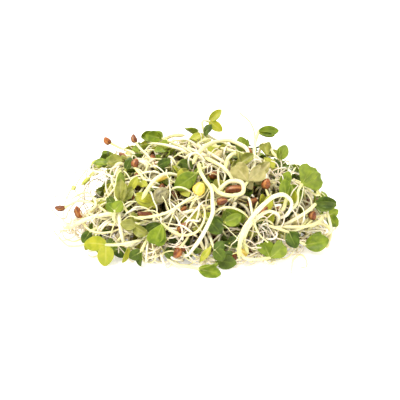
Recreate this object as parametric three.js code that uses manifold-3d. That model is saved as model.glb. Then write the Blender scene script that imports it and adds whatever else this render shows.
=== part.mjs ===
// A loose heap of mixed cut sprouts: white stems that tangle and run together at their matted roots, pairs
// of green seed leaves on the ends of the stems, and the seed coats that still cling to some of them.
// Millimetres, +Z up. The origin is the middle of the heap's flat foot, on the surface it lies on.
import * as THREE from "three";
import { mergeVertices } from "three/addons/utils/BufferGeometryUtils.js";
import Module from "manifold-3d";

const wasm = await Module();
wasm.setup();

// The heap is about half an ellipsoid, and the sprouts lie on it and in it.
const HEAP = { halfLength: 53, halfDepth: 35, height: 31.5 };
// Where the front of the heap is seen from. Places on the front are given as that eye sees them.
const EYE = { distance: 600, slope: 25 };

const STEM_SIDES = 5;
const LINK = 5; // length of one straight piece of a stem
const STEM_RADIUS = 0.7;
const COAT_STEM = 0.58; // radius of a stem that wears its seed coat
const ROOT_RADIUS = 0.42;
const TIP_RADIUS = 0.3;
const BUD = [0.5, 1.1, 1.3, 0.9]; // radii of a closed bud, from its tip to its stem
const BUD_STEP = 1.05;
const FOOT = { radius: 2.8, centre: 1.5 }; // the clump of matted roots that the heap stands on
const MAT_RADIUS = 1.5; // the other clumps of matted roots
// The clumps' rings: one near the heap's surface and a higher one inside it, in shares of the heap's sizes.
const MAT_RINGS = [
  { count: 6, spread: 0.56, height: 0.2 },
  { count: 4, spread: 0.3, height: 0.5 },
];
const CROWDING = 1.6; // mm that a sprout's root goes further for each root that a mat has already
const FLOOR_SINK = 0.2; // how far a stem that lies on the surface is flattened
const DOME = 0.3; // rise of a stem's rounded end, as a share of its radius
const NECK = 1.0; // the neck that carries a pair of seed leaves
const NECK_TOP = 0.2;
const BLADE_OVERLAP = 0.4; // how far the two blades run past each other's base
const SPREAD = { leaf: 74, coat: 125 }; // least angle between a stem and what it carries
const CLEAR = 0.5; // air between a stem's end and what it carries
const BLADE_THICK = 1.1;
const COAT_SIDES = 7;
const SLIVER = 0.1; // detail that is smaller than this is left out where solids meet

// Spare room round a seed leaf or a stem, while the sprouts settle.
const ROOM = { gap: 0.5, blade: 1.3, bladeFloor: 0.6 };
// Settling goes in rounds. The stems hold their shapes by springs that ease in the last part of it.
const SETTLING = { rounds: 420, relist: 10, reach: 2.5, push: 0.6 };
const SPRING = { stiff: 0.35, give: 0.03, late: 0.7, eased: 0.15 };
const HEAVY = 0.25; // sprouts that are placed by hand give way less than the rest
// Sprouts on the top and the back: where they start round the heap in degrees, and how high up it. Those
// with leaves start nearer to the middle of the back.
const FILL = { count: 38, pairs: 9, seed: 79, stride: 9.5, leafy: 0.6 };
const FILL_ROUND = { from: 2, sweep: 176, step: 0.618034, start: 0.1 };
const FILL_RISE = { from: 0.06, sweep: 0.9, step: 0.381966, start: 0.3, lift: 1.5 };

const SHAPES = {
  oval: { along: [0, 0.24, 0.52, 0.8, 1], across: [0.2, 0.68, 1, 0.78, 0.22], notch: 0 },
  heart: { along: [0, 0.26, 0.58, 0.86, 1], across: [0.14, 0.5, 1, 0.94, 0.52], notch: 0.16 },
};

const COLOURS = {
  stem: { color: 0xf0eed2, roughness: 0.45 },
  green: { color: 0x7fae2e, roughness: 0.5 },
  dark: { color: 0x48742a, roughness: 0.5 },
  lime: { color: 0xbcc93a, roughness: 0.5 },
  olive: { color: 0xa9a35a, roughness: 0.55 },
  coat: { color: 0x9c4a22, roughness: 0.45 },
  kernel: { color: 0xe2c53a, roughness: 0.5 },
};

// Sprouts with open seed leaves, on the front of the heap. A path runs from the leaves into the heap: mm
// across and up in the picture, and mm out of the heap's surface. A leaf is its direction in the picture in
// degrees, its length and width, and how far it is rolled from facing the eye and pitched towards it.
const PAIRS = [
  {
    tone: "lime",
    path: [[5, 40, 2], [3, 42, 2], [2, 39, 1.5], [3.5, 35, 1], [5, 30, -3]],
    leaves: [[42, 7, 3.6], [-42, 7, 4]],
  },
  {
    tone: "dark",
    path: [[3, 35, 1], [9, 32, 1], [15, 31, 0], [22, 26, -4]],
    leaves: [[-22, 6.5, 4.8], [20, 5, 3.6, 60]],
  },
  {
    tone: "green",
    path: [[-13.5, 32.5, 1], [-8, 31, 1], [-1, 28.5, 0], [6, 27, -4]],
    leaves: [[165, 7, 4.8], [122, 4, 2.8, 50]],
  },
  {
    tone: "green",
    path: [[18.5, 29, 1.5], [19, 25, 1], [15, 20, -3]],
    leaves: [[105, 6.5, 5.4], [70, 5.5, 4, 65]],
  },
  {
    tone: "green",
    path: [[23.5, 34.5, 3], [22.5, 32, 3], [21.5, 28, 2], [20.5, 22, 0], [17, 18, -4]],
    leaves: [[4, 8.5, 4.4], [-14, 7, 3.6, 55]],
  },
  {
    tone: "green",
    path: [[31.5, 23.5, 4], [29.5, 25, 4], [27.5, 29, 4], [26, 31, 2], [22, 26, -4]],
    leaves: [[66, 6.5, 4.8], [95, 5, 3.6, 60]],
  },
  {
    tone: "green",
    heart: true,
    path: [[40.5, 15, 3], [39, 12.5, 3], [39.5, 9, 2], [36, 5, -3]],
    leaves: [[62, 8.5, 8], [14, 8.5, 7.6, 20]],
  },
  {
    tone: "green",
    path: [[35.5, 9.5, 2], [35, 6, 1], [30, 3, -4]],
    leaves: [[100, 8, 5], [68, 6, 4, 55]],
  },
  {
    tone: "dark",
    path: [[45.5, 7, 3], [43, 5, 3], [39, 2.5, 1], [34, 0, -4]],
    leaves: [[14, 8.5, 5], [-14, 8.5, 4.4, 15]],
  },
  {
    tone: "green",
    path: [[51, 2.5, 1], [47, 3, 1], [43, 2, 0], [38, 0, -4]],
    leaves: [[-50, 6, 4.6], [28, 5, 3.6]],
  },
  {
    tone: "green",
    path: [[42.5, -6.5, 2], [39, -5, 1.5], [34, -3, -1], [30, 2, -5]],
    leaves: [[8, 9.5, 7], [38, 8, 5.4, 35]],
  },
  {
    tone: "dark",
    path: [[35.5, -2.5, 2.5], [31, -1, 1.5], [26, 2, -4]],
    leaves: [[-68, 7, 5.4], [-20, 5, 3.8, 50]],
  },
  {
    tone: "green",
    heart: true,
    path: [[29, -12, 2.5], [24, -12, 3], [19, -11.5, 2], [15, -8, -3]],
    leaves: [[118, 7, 6.4], [34, 8, 6.6, 15]],
  },
  {
    tone: "green",
    path: [[0, 20, 2], [3, 23, 1], [8, 24, 0], [12, 20, -4]],
    leaves: [[-144, 10.5, 6.6], [-115, 6, 4, 60]],
  },
  {
    tone: "green",
    heart: true,
    path: [
      [-13, 1, 3], [-8.5, -2, 3.5], [-3.5, -3, 3.5], [1.5, -1, 3.5], [3.5, 4, 3], [2, 9, 0],
      [-2, 12, -5],
    ],
    leaves: [[-112, 9, 7.4], [-70, 7.5, 6.2, 20]],
  },
  {
    tone: "lime",
    path: [[-24, 12, 3], [-26, 15, 2], [-24, 19, 0], [-18, 21, -4]],
    leaves: [[-14, 8, 4], [-40, 9.5, 4.2]],
  },
  {
    tone: "olive",
    path: [[-29, 9, 2], [-28, 6, 1], [-24, 3, -3]],
    leaves: [[98, 8.5, 4.8], [62, 7, 4.4, 15]],
  },
  {
    tone: "green",
    path: [[-31, 6, 2], [-33, 3, 1], [-30, 1, -4]],
    leaves: [[48, 5, 4.6], [140, 4.6, 3.8, 20]],
  },
  {
    tone: "lime",
    path: [[-34, -10.5, 2], [-31, -9, 2.5], [-26, -7, 0], [-20, -4, -5]],
    leaves: [[166, 8.5, 6], [-88, 8.5, 6.4]],
  },
  {
    tone: "dark",
    path: [[-32, -6.5, 1], [-29, -3, 0], [-25, 0, -4]],
    leaves: [[-62, 6.5, 5.2], [178, 5, 4, 30]],
  },
  {
    tone: "dark",
    path: [[-21.5, -9, 2], [-20, -6, 1], [-19, -2, -3]],
    leaves: [[-148, 5.5, 4.6], [-95, 6, 3.4, 45]],
  },
  {
    tone: "green",
    heart: true,
    path: [[11, 7.5, 2.5], [9, 10, 1], [12, 13, -3]],
    leaves: [[-30, 8, 6.4], [-72, 7.5, 6, 15]],
  },
  {
    tone: "dark",
    path: [[4.5, 3.5, 2], [2, 5, 0], [0, 8, -5]],
    leaves: [[-48, 7.5, 5.8], [-8, 6, 4.6, 30]],
  },
  {
    tone: "dark",
    path: [[7.5, -8.5, 2.5], [6, -5, 1], [5, -1, -3]],
    leaves: [[-46, 5.6, 5], [52, 5, 4.4, 25]],
  },
  {
    tone: "green",
    path: [[1, -19, 1.5], [-4.5, -17.5, 1.5], [-10, -14, 1], [-12, -8, -3]],
    leaves: [[-12, 9, 5.2], [14, 8, 4.2, 55]],
  },
  {
    tone: "dark",
    path: [[8, -16, 1.5], [5.5, -13.5, 2], [4.5, -10, 1], [4, -5, -3]],
    leaves: [[-14, 8.5, 5.8], [18, 7.5, 4.6, 20]],
  },
  {
    tone: "olive",
    heart: true,
    path: [[19.5, 16, 1.5], [18, 13, 0], [14, 10, -4]],
    leaves: [[128, 8.5, 7], [40, 8, 6.4, 15]],
  },
  {
    tone: "dark",
    path: [[-41.5, -2, 1.5], [-38, 0, 1], [-33, 2, -3]],
    leaves: [[32, 6, 4], [-122, 5.6, 4.2]],
  },
  {
    tone: "olive",
    path: [[-23.5, 0, 1.5], [-21, 2, 0], [-17, 3, -4]],
    leaves: [[168, 6, 4.4], [-22, 6.5, 4.8, 20]],
  },
];

// Sprouts that still wear their seed coat: the coat's direction in the picture, its length and its width.
const COATS = [
  { path: [[-33.5, 31, 2], [-30, 29.5, 1.5], [-25, 28, 1], [-20, 26, -4]], coat: [140, 3.6, 2.8] },
  { path: [[-24, 31.5, 1.5], [-21, 28, 1], [-16, 25, -4]], coat: [105, 3.6, 2.5] },
  { path: [[-24, 22, 2], [-21, 19, 0], [-18, 15, -4]], coat: [60, 3.6, 3] },
  { path: [[-51, 7, 1.5], [-45, 9, 3], [-39, 8, 2], [-34, 4, -3]], coat: [175, 4.4, 2.4] },
  { path: [[-44.5, 3.5, 2], [-41, -1, 3], [-35, -2, 1], [-30, 1, -4]], coat: [115, 5, 3] },
  { path: [[27, 14, 2], [29, 10, 1], [26, 6, -4]], coat: [80, 4.2, 3.4] },
  { path: [[45, 2, 2], [41, -1, 1], [36, -2, -3]], coat: [75, 3.6, 3.2] },
  { path: [[-6.5, -8, 1.5], [-4, -5, 0], [-2, 0, -5]], coat: [-120, 4, 3.2] },
  { path: [[8, 8.5, 1.5], [3, 7, -1], [0, 4, -5]], coat: [15, 4.4, 3] },
  { path: [[1.5, 12.5, 2], [-1, 10, 0], [-3, 5, -5]], coat: [70, 5, 4.6], tone: "kernel" },
];

// Stems and roots whose leaves are inside the heap. One with a tip is a free root, and the others end in a
// closed bud.
const STRANDS = [
  {
    radius: 0.88,
    path: [
      [-1, 24, 1], [2, 27.5, 2.5], [7, 30, 3], [13, 30.5, 3], [18, 28.5, 2], [21, 24, 0], [22, 18, -5],
    ],
  },
  { radius: 0.92, path: [[11.5, 22, 2], [12.5, 25, 3], [16, 26.8, 3], [20, 26.5, 1.5], [24, 22, -4]] },
  { radius: 0.84, path: [[4, 26, 1.5], [9.5, 22.5, 2.5], [14, 19.5, 2], [17, 14, -4]] },
  {
    radius: 0.8,
    path: [
      [0.5, 23, 3], [1.5, 18, 3.5], [5, 13.5, 3.5], [6, 8.5, 3.5], [6.5, 4.5, 3.5], [4, -1, 3],
      [0, -7, 2.5], [-5, -12, 1], [-6, -8, -4],
    ],
  },
  {
    radius: 0.55,
    path: [[22, 2, 1.5], [20, 3.5, 3], [15, 6, 3.5], [10, 6.5, 2.5], [7, 4, 0], [5, 2, -5]],
    tip: true,
  },
  {
    radius: 0.6,
    path: [[27, -6, 1.5], [23, -2, 3], [21.5, 3, 3], [20.5, 8, 3], [19.5, 12, 1], [17, 14, -4]],
    tip: true,
  },
  { radius: 0.64, path: [[-24, 3, 2], [-17, 3.5, 3], [-11, 5, 3], [-6, 8, 3], [0, 12, 0], [4, 14, -5]] },
  { radius: 0.5, path: [[-47, 19, 3], [-41, 20, 3], [-34, 19.5, 2], [-29, 17, -2]], tip: true },
  { radius: 0.84, path: [[-50, -1, 2], [-44, 1, 3], [-38, 3.5, 2.5], [-32, 5, 0], [-27, 4, -5]] },
  {
    radius: 0.96,
    path: [
      [16, -12, 2], [16.5, -4, 3.5], [21, 3.5, 4], [27, 9, 4], [32, 11, 4], [36, 9, 3], [34.5, 4, 1],
      [31, 3, -5],
    ],
  },
  {
    radius: 0.88,
    path: [[20, -9, 2], [18.5, -3, 2], [21.5, 2.5, 2.5], [27, 6, 3], [32, 5, 1], [33, 0, -5]],
  },
  { radius: 0.8, path: [[-21, 10, 2.5], [-18, 14.5, 3], [-14, 18.5, 3], [-9, 21, 0], [-4, 20, -5]] },
  { radius: 0.84, path: [[-4, 35, 1], [-9, 33.5, 2], [-15, 31, 1.5], [-20, 28, 0], [-18, 24, -5]] },
  {
    radius: 0.45,
    path: [
      [42, -17, 1], [44, -17.5, 0.6], [43, -12.5, 1.5], [39, -13.5, 0.8], [37, -19, 0.6], [33, -16, 0.8],
      [29, -10, 0],
    ],
    tip: true,
  },
  {
    radius: 0.76,
    path: [[52.5, -8.5, 1], [54, -4, 2], [51, 0, 3], [47, 1.5, 2], [42, 0, 0], [37, 2, -5]],
  },
  { radius: 0.72, path: [[48, 4.5, 3], [44, 1.5, 3.5], [38, 0, 3], [31, 0.5, 1], [26, 0, -4]] },
  { radius: 0.4, path: [[17, 42, 3], [21, 38, 3], [23, 33, 1], [21, 27, -4]], tip: true },
  { radius: 0.45, path: [[38, 21, 3], [35, 17.5, 2], [30, 18, 1], [25, 17, -4]], tip: true },
  {
    radius: 0.92,
    path: [
      [6, 16, 2.5], [9, 12.5, 3], [13.5, 11.5, 3.5], [18, 13, 3.5], [17.5, 16.5, 3], [12, 17.6, 1],
      [8, 14, -4],
    ],
  },
  { radius: 0.5, path: [[-57, -3, 1], [-52, -8, 1], [-45, -7, 1.5], [-38, -5, 0]], tip: true },
  { radius: 0.58, path: [[-48, 10, 2], [-42, 12, 3], [-38, 8, 3], [-41, 5, 3], [-36, 3, 0]], tip: true },
  {
    radius: 0.68,
    path: [[-30, 22, 1], [-31, 14, 3], [-30, 6, 3], [-29, -2, 3], [-27, -8, 1], [-24, -4, -4]],
  },
];

const radians = THREE.MathUtils.degToRad;
const vector = (x, y, z) => new THREE.Vector3(x, y, z);

// Seeded draws from 0 to 1.
function draws(seed) {
  let state = seed;
  return () => {
    state = (state * 16807) % 2147483647;
    return state / 2147483647;
  };
}

// The picture's own axes at the eye's slope: right, up, and towards the eye.
const SLOPE = radians(EYE.slope);
const RIGHT = vector(1, 0, 0);
const UP = vector(0, Math.sin(SLOPE), Math.cos(SLOPE));
const NEAR = vector(0, -Math.cos(SLOPE), Math.sin(SLOPE));
const VERTICAL = vector(0, 0, 1);

// The heap's outward direction at a point.
function outward(p) {
  return vector(p.x / HEAP.halfLength ** 2, p.y / HEAP.halfDepth ** 2, p.z / HEAP.height ** 2).normalize();
}

// A place on the front of the heap, or on the surface before it, from where the eye sees it.
function seen([across, up, out]) {
  const shrink = vector(1 / HEAP.halfLength, 1 / HEAP.halfDepth, 1 / HEAP.height);
  const eye = NEAR.clone().multiplyScalar(EYE.distance);
  const ray = RIGHT.clone().multiplyScalar(across).addScaledVector(UP, up).sub(eye);
  const from = eye.clone().multiply(shrink);
  const along = ray.clone().multiply(shrink);
  const middle = -from.dot(along) / along.lengthSq();
  const miss = from.clone().addScaledVector(along, middle).lengthSq();
  const depth = Math.sqrt(Math.max(0, 1 - miss) / along.lengthSq());
  const place = eye.clone().addScaledVector(ray, middle - depth);
  if (place.z > 0) return place.addScaledVector(outward(place), out);
  return eye.addScaledVector(ray, -eye.z / ray.z).addScaledVector(VERTICAL, Math.max(out, STEM_RADIUS));
}

// The centres of the root mats: the foot in the middle, and then the rings.
function matPlaces() {
  const places = [vector(0, 0, FOOT.centre)];
  for (const { count, spread, height } of MAT_RINGS) {
    for (let k = 0; k < count; k++) {
      const angle = ((k + 0.5) / count) * 2 * Math.PI;
      const x = Math.cos(angle) * spread * HEAP.halfLength;
      const y = Math.sin(angle) * spread * HEAP.halfDepth;
      places.push(vector(x, y, height * HEAP.height));
    }
  }
  return places;
}

// The k-th of values that are spread evenly over a range.
const spaced = (k, { from, sweep, step, start }) => from + sweep * ((k * step + start) % 1);

// A sprout on the top or the back of the heap: its stem runs along the surface and then inwards.
function fillSprout(k, leafy, draw) {
  const azimuth = radians(90 + (spaced(k, FILL_ROUND) - 90) * (leafy ? FILL.leafy : 1));
  const rise = spaced(k, FILL_RISE);
  const level = Math.sqrt(1 - rise ** 2);
  const top = vector(
    HEAP.halfLength * level * Math.cos(azimuth),
    HEAP.halfDepth * level * Math.sin(azimuth),
    HEAP.height * rise + FILL_RISE.lift,
  );
  const out = outward(top);
  const heading = VERTICAL.clone().cross(out).normalize().applyAxisAngle(out, 2 * Math.PI * draw());
  const bend = (draw() < 0.5 ? -1 : 1) * (0.7 + 0.7 * draw());
  const path = [top.clone()];
  for (const sunk of [0.5, 2.5, 6]) {
    top.addScaledVector(heading, FILL.stride * (0.8 + 0.4 * draw())).addScaledVector(out, -sunk);
    top.z = Math.max(top.z, STEM_RADIUS);
    path.push(top.clone());
    heading.applyAxisAngle(out, bend);
  }
  return { path, out, radius: STEM_RADIUS * (0.85 + 0.4 * draw()) };
}

// A leaf's own axes: along it, across it, and out of its upper face.
function leafAxes(along, facing) {
  const across = facing.clone().cross(along).normalize();
  return { along, across, facing: along.clone().cross(across).normalize() };
}

// A leaf given by its direction in the picture.
function frontLeaf([angle, length, width, roll = 0, pitch = 8]) {
  const level = Math.cos(radians(pitch));
  const along = RIGHT.clone().multiplyScalar(Math.cos(radians(angle)) * level);
  along.addScaledVector(UP, Math.sin(radians(angle)) * level);
  along.addScaledVector(NEAR, Math.sin(radians(pitch)));
  const facing = NEAR.clone().applyAxisAngle(along, radians(roll));
  return { length, width, ...leafAxes(along, facing) };
}

// A leaf or a coat turned away from its own stem, where it would lie against it.
function spread(leaf, [start, next], least) {
  const down = next.clone().sub(start).normalize();
  const turn = radians(least) - leaf.along.angleTo(down);
  if (turn < 0) return leaf;
  const axis = down.cross(leaf.along).normalize();
  leaf.along.applyAxisAngle(axis, turn);
  leaf.facing.applyAxisAngle(axis, turn);
  return { ...leaf, ...leafAxes(leaf.along, leaf.facing) };
}

// One of the two leaves of a sprout on the back: level with the heap's surface, and a little raised.
function backLeaf(out, turn, draw) {
  const along = VERTICAL.clone().cross(out).normalize().applyAxisAngle(out, turn);
  along.addScaledVector(out, 0.25 + 0.35 * draw()).normalize();
  return { length: 7 + 2.5 * draw(), width: 4.6 + 2.4 * draw(), ...leafAxes(along, out) };
}

// Every sprout, with its path in the heap's own frame.
function sprouts() {
  const made = [];
  for (const { tone, heart, path, leaves } of PAIRS) {
    const shape = heart ? SHAPES.heart : SHAPES.oval;
    const pair = { head: "pair", tone, shape, radius: STEM_RADIUS };
    made.push({ ...pair, path: path.map(seen), leaves: leaves.map(frontLeaf) });
  }
  for (const { path, coat: [angle, length, width], tone = "coat" } of COATS) {
    const coat = frontLeaf([angle, length, width]);
    made.push({ head: "coat", tone, path: path.map(seen), radius: COAT_STEM, coat });
  }
  for (const { path, radius, tip } of STRANDS) {
    made.push({ head: tip ? "tip" : "bud", path: path.map(seen), radius });
  }
  for (const sprout of made) sprout.weight = HEAVY;
  const draw = draws(FILL.seed);
  const tones = ["green", "dark", "lime", "green"];
  for (let k = 0; k < FILL.count; k++) {
    const leafy = k % 3 === 0 && k / 3 < FILL.pairs;
    const sprout = { head: "bud", weight: 1, ...fillSprout(k, leafy, draw) };
    if (leafy) {
      const turn = 2 * Math.PI * draw();
      sprout.head = "pair";
      sprout.tone = tones[(k / 3) % tones.length];
      sprout.shape = k % 2 ? SHAPES.heart : SHAPES.oval;
      sprout.leaves = [backLeaf(sprout.out, turn, draw), backLeaf(sprout.out, turn + 1.6 + draw(), draw)];
    }
    made.push(sprout);
  }
  for (const sprout of made) {
    sprout.leaves = sprout.leaves?.map((leaf) => spread(leaf, sprout.path, SPREAD.leaf));
    if (sprout.coat) sprout.coat = spread(sprout.coat, sprout.path, SPREAD.coat);
  }
  return made;
}

// A sprout's path, run on to the nearest root mat that isn't crowded, and cut into links of one length.
function linkPath(path, mats, shares) {
  const end = path[path.length - 1];
  const cost = (k) => mats[k].distanceTo(end) + CROWDING * shares[k];
  const mat = mats.reduce((best, _, k) => (cost(k) < cost(best) ? k : best), 0);
  shares[mat] += 1;
  const curve = new THREE.CatmullRomCurve3([...path, mats[mat]], false, "catmullrom", 0.5);
  const count = Math.max(4, Math.round(curve.getLength() / LINK));
  return { mat, points: curve.getSpacedPoints(count) };
}

// What has to be kept apart: straight rods between two points, each with offsets from those points.
function guardsOf(sprout, id) {
  const { first, points, mat } = sprout;
  const last = points.length - 1;
  const guards = [];
  for (let k = 0; k < last; k++) {
    const radius = Math.max(radiusAt(sprout, k), radiusAt(sprout, k + 1));
    const floor = radius - FLOOR_SINK;
    guards.push({ a: first + k, b: first + k + 1, radius, floor, id, order: k, mat, toMat: last - 1 - k });
  }
  const held = { a: first, b: first, id, order: -2, mat, toMat: last };
  for (const { along, across, length, width } of sprout.leaves ?? []) {
    const rib = (share) => along.clone().multiplyScalar(length * share);
    const reach = (share, side) => rib(share).addScaledVector(across, side);
    const side = Math.max(0, width / 2 - ROOM.blade);
    const room = { ...held, radius: ROOM.blade, floor: ROOM.bladeFloor };
    guards.push({ ...room, from: reach(0.15, 0), to: reach(0.9, 0) });
    guards.push({ ...room, from: reach(0.4, -side), to: reach(0.4, side) });
    guards.push({ ...room, from: reach(0.72, -side), to: reach(0.72, side) });
  }
  if (sprout.coat) {
    const { along, length, width } = sprout.coat;
    const from = along.clone().multiplyScalar(width / 2);
    const to = along.clone().multiplyScalar(length - width / 2);
    guards.push({ ...held, radius: width / 2, floor: width / 2, from, to });
  }
  return guards;
}

// A stem's radius at its k-th point: thinner where it turns into root, and thinnest at a free tip.
function radiusAt({ head, radius, points }, k) {
  const share = k / (points.length - 1);
  const root = THREE.MathUtils.lerp(radius, ROOT_RADIUS, THREE.MathUtils.smoothstep(share, 0.45, 1));
  return head === "tip" ? THREE.MathUtils.lerp(TIP_RADIUS, root, Math.min(1, 3 * share)) : root;
}

// The two places where two rods are closest, as shares of their lengths.
function closest(a, b) {
  const u = a.end.clone().sub(a.start);
  const v = b.end.clone().sub(b.start);
  const w = a.start.clone().sub(b.start);
  const uu = u.dot(u) + 1e-9;
  const uv = u.dot(v);
  const vv = v.dot(v) + 1e-9;
  const clamp = THREE.MathUtils.clamp;
  const flat = uu * vv - uv * uv;
  const guess = flat > 1e-6 ? clamp((uv * v.dot(w) - vv * u.dot(w)) / flat, 0, 1) : 0.5;
  const t = clamp((uv * guess + v.dot(w)) / vv, 0, 1);
  return [clamp((uv * t - u.dot(w)) / uu, 0, 1), t];
}

const joined = (a, b) =>
  (a.id === b.id && Math.abs(a.order - b.order) <= 2) || (a.mat === b.mat && a.toMat <= 2 && b.toMat <= 2);

// Moves the points until all rods are clear of each other and of the surface below.
function settle(points, loose, links, guards) {
  const place = (g) => {
    g.start = points[g.a].clone();
    g.end = points[g.b].clone();
    if (g.from) g.start.add(g.from);
    if (g.to) g.end.add(g.to);
  };
  const push = (g, share, move) => {
    points[g.a].addScaledVector(move, loose[g.a] * (1 - share));
    points[g.b].addScaledVector(move, loose[g.b] * share);
    place(g);
  };
  const give = (g, share) => {
    if (g.a === g.b) return loose[g.a];
    return loose[g.a] * (1 - share) ** 2 + loose[g.b] * share ** 2;
  };
  let pairs = [];
  for (let round = 0; round < SETTLING.rounds; round++) {
    guards.forEach(place);
    if (round % SETTLING.relist === 0) pairs = neighbours(guards);
    for (const [a, b] of pairs) {
      const [s, t] = closest(a, b);
      const apart = a.start.clone().lerp(a.end, s).sub(b.start.clone().lerp(b.end, t));
      const distance = apart.length() || 1e-6;
      const depth = a.radius + b.radius + ROOM.gap - distance;
      const ease = give(a, s) + give(b, t);
      if (depth <= 0 || ease === 0) continue;
      apart.multiplyScalar((SETTLING.push * depth) / distance / ease);
      push(a, s, apart);
      push(b, t, apart.negate());
    }
    const late = round > SETTLING.rounds * SPRING.late;
    const stiff = SPRING.stiff * (late ? SPRING.eased : 1);
    for (const link of links) {
      const strain = points[link.b].clone().sub(points[link.a]).sub(link.rest);
      const total = loose[link.a] + loose[link.b];
      if (total === 0) continue;
      points[link.a].addScaledVector(strain, (stiff * loose[link.a]) / total);
      points[link.b].addScaledVector(strain, (-stiff * loose[link.b]) / total);
      link.rest.addScaledVector(strain, SPRING.give).setLength(link.length);
    }
    for (const g of guards) {
      for (const [at, offset] of [[g.a, g.from], [g.b, g.to]]) {
        const low = g.floor - points[at].z - (offset ? offset.z : 0);
        if (low > 0 && loose[at]) points[at].z += low;
      }
    }
  }
}

// The pairs of rods that are near enough to meet soon.
function neighbours(guards) {
  const found = [];
  const middles = guards.map((g) => g.start.clone().lerp(g.end, 0.5));
  const reaches = guards.map((g) => g.start.distanceTo(g.end) / 2 + g.radius + SETTLING.reach / 2);
  for (let i = 0; i < guards.length; i++) {
    for (let j = i + 1; j < guards.length; j++) {
      const reach = reaches[i] + reaches[j];
      if (middles[i].distanceToSquared(middles[j]) < reach * reach && !joined(guards[i], guards[j])) {
        found.push([guards[i], guards[j]]);
      }
    }
  }
  return found;
}

// A closed mesh as a solid.
function solid(geometry) {
  const bare = new THREE.BufferGeometry().setAttribute("position", geometry.getAttribute("position"));
  bare.setIndex(geometry.index);
  const merged = mergeVertices(bare, 1e-4);
  const whole = [];
  const corners = merged.index.array;
  for (let k = 0; k < corners.length; k += 3) {
    const [a, b, c] = corners.slice(k, k + 3);
    if (a !== b && b !== c && c !== a) whole.push(a, b, c);
  }
  const vertProperties = merged.attributes.position.array;
  return new wasm.Manifold(new wasm.Mesh({ numProp: 3, vertProperties, triVerts: new Uint32Array(whole) }));
}

// Solids as one, without the slivers where they meet.
const union = (solids) => solids.reduce((all, one) => all.add(one)).asOriginal().simplify(SLIVER);

// A solid as a named mesh.
function meshOf(name, body, tone) {
  const { vertProperties, triVerts } = body.getMesh();
  const geometry = new THREE.BufferGeometry();
  geometry.setAttribute("position", new THREE.BufferAttribute(vertProperties, 3));
  geometry.setIndex(new THREE.BufferAttribute(triVerts, 1));
  geometry.computeVertexNormals();
  const mesh = new THREE.Mesh(geometry, new THREE.MeshStandardMaterial({ metalness: 0, ...COLOURS[tone] }));
  mesh.name = name;
  return mesh;
}

// A closed tube through points, with a radius at each and a low dome on both ends.
const FIRST_SIDE = vector(0.3, 0.5, 0.8); // a direction that no tube starts along
function tube(points, radii) {
  const corners = [];
  const faces = [];
  const last = points.length - 1;
  let side = FIRST_SIDE;
  points.forEach((p, k) => {
    const ahead = points[Math.min(k + 1, last)].clone().sub(points[Math.max(k - 1, 0)]).normalize();
    side = side.clone().addScaledVector(ahead, -side.dot(ahead)).normalize();
    const over = ahead.clone().cross(side);
    for (let s = 0; s < STEM_SIDES; s++) {
      const angle = (s / STEM_SIDES) * 2 * Math.PI;
      const round = side.clone().multiplyScalar(Math.cos(angle)).addScaledVector(over, Math.sin(angle));
      corners.push(p.clone().addScaledVector(round, radii[k]));
      const next = (s + 1) % STEM_SIDES;
      const low = k * STEM_SIDES;
      const high = low + STEM_SIDES;
      if (k < last) faces.push(low + s, low + next, high + next, low + s, high + next, high + s);
    }
  });
  const dome = (at, inner) => {
    const rise = (-DOME * radii[at]) / points[at].distanceTo(points[inner]);
    return points[at].clone().lerp(points[inner], rise);
  };
  corners.push(dome(0, 1), dome(last, last - 1));
  const [start, end, far] = [corners.length - 2, corners.length - 1, last * STEM_SIDES];
  for (let s = 0; s < STEM_SIDES; s++) {
    const next = (s + 1) % STEM_SIDES;
    faces.push(start, next, s, end, far + s, far + next);
  }
  return new THREE.BufferGeometry().setFromPoints(corners).setIndex(faces);
}

// A leaf blade: thickest along its midrib and sharp at its rim, cupped and bent back a little.
const CUP = 0.14; // rise of the rim, as a share of the blade's half width
function blade(base, { along, across, facing, length, width }, shape) {
  const corners = [];
  const faces = [];
  shape.along.forEach((share, k) => {
    const half = (shape.across[k] * width) / 2;
    const bend = length * 0.1 * (share - share ** 2 * 1.6);
    const rib = base.clone().addScaledVector(along, share * length).addScaledVector(facing, bend);
    const cupped = rib.clone().addScaledVector(facing, CUP * half);
    const rim = (way) => cupped.clone().addScaledVector(across, way * half);
    const back = k === shape.along.length - 1 ? shape.notch * length : 0;
    const middle = rib.clone().addScaledVector(along, -back);
    const face = (way) => middle.clone().addScaledVector(facing, (way * BLADE_THICK) / 2);
    corners.push(rim(-1), face(1), rim(1), face(-1));
  });
  const last = (shape.along.length - 1) * 4;
  for (let row = 0; row < last; row += 4) {
    for (let s = 0; s < 4; s++) {
      const next = (s + 1) % 4;
      faces.push(row + s, row + 4 + next, row + next, row + s, row + 4 + s, row + 4 + next);
    }
  }
  faces.push(0, 1, 3, 1, 2, 3, last, last + 3, last + 1, last + 1, last + 3, last + 2);
  return new THREE.BufferGeometry().setFromPoints(corners).setIndex(faces);
}

// A pair of seed leaves on the short neck that its stem carries.
function leafPair({ points, leaves, shape, radius }) {
  const down = points[1].clone().sub(points[0]).normalize();
  const ends = [-NECK_TOP, NECK].map((at) => points[0].clone().addScaledVector(down, at));
  const neck = tube(ends, [radius, radius * 0.9]);
  const blades = leaves.map((leaf) => {
    const base = points[0].clone().addScaledVector(leaf.along, -BLADE_OVERLAP);
    return solid(blade(base, leaf, shape));
  });
  return union([solid(neck), ...blades]);
}

// A seed coat on the end of its stem.
function seedCoat({ points, coat: { along, length, width } }) {
  const shell = new THREE.SphereGeometry(1, COAT_SIDES, 5);
  shell.scale(width / 2, length / 2, width / 2);
  shell.applyQuaternion(new THREE.Quaternion().setFromUnitVectors(vector(0, 1, 0), along));
  const middle = points[0].clone().addScaledVector(along, length / 2);
  return solid(shell.translate(middle.x, middle.y, middle.z));
}

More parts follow.
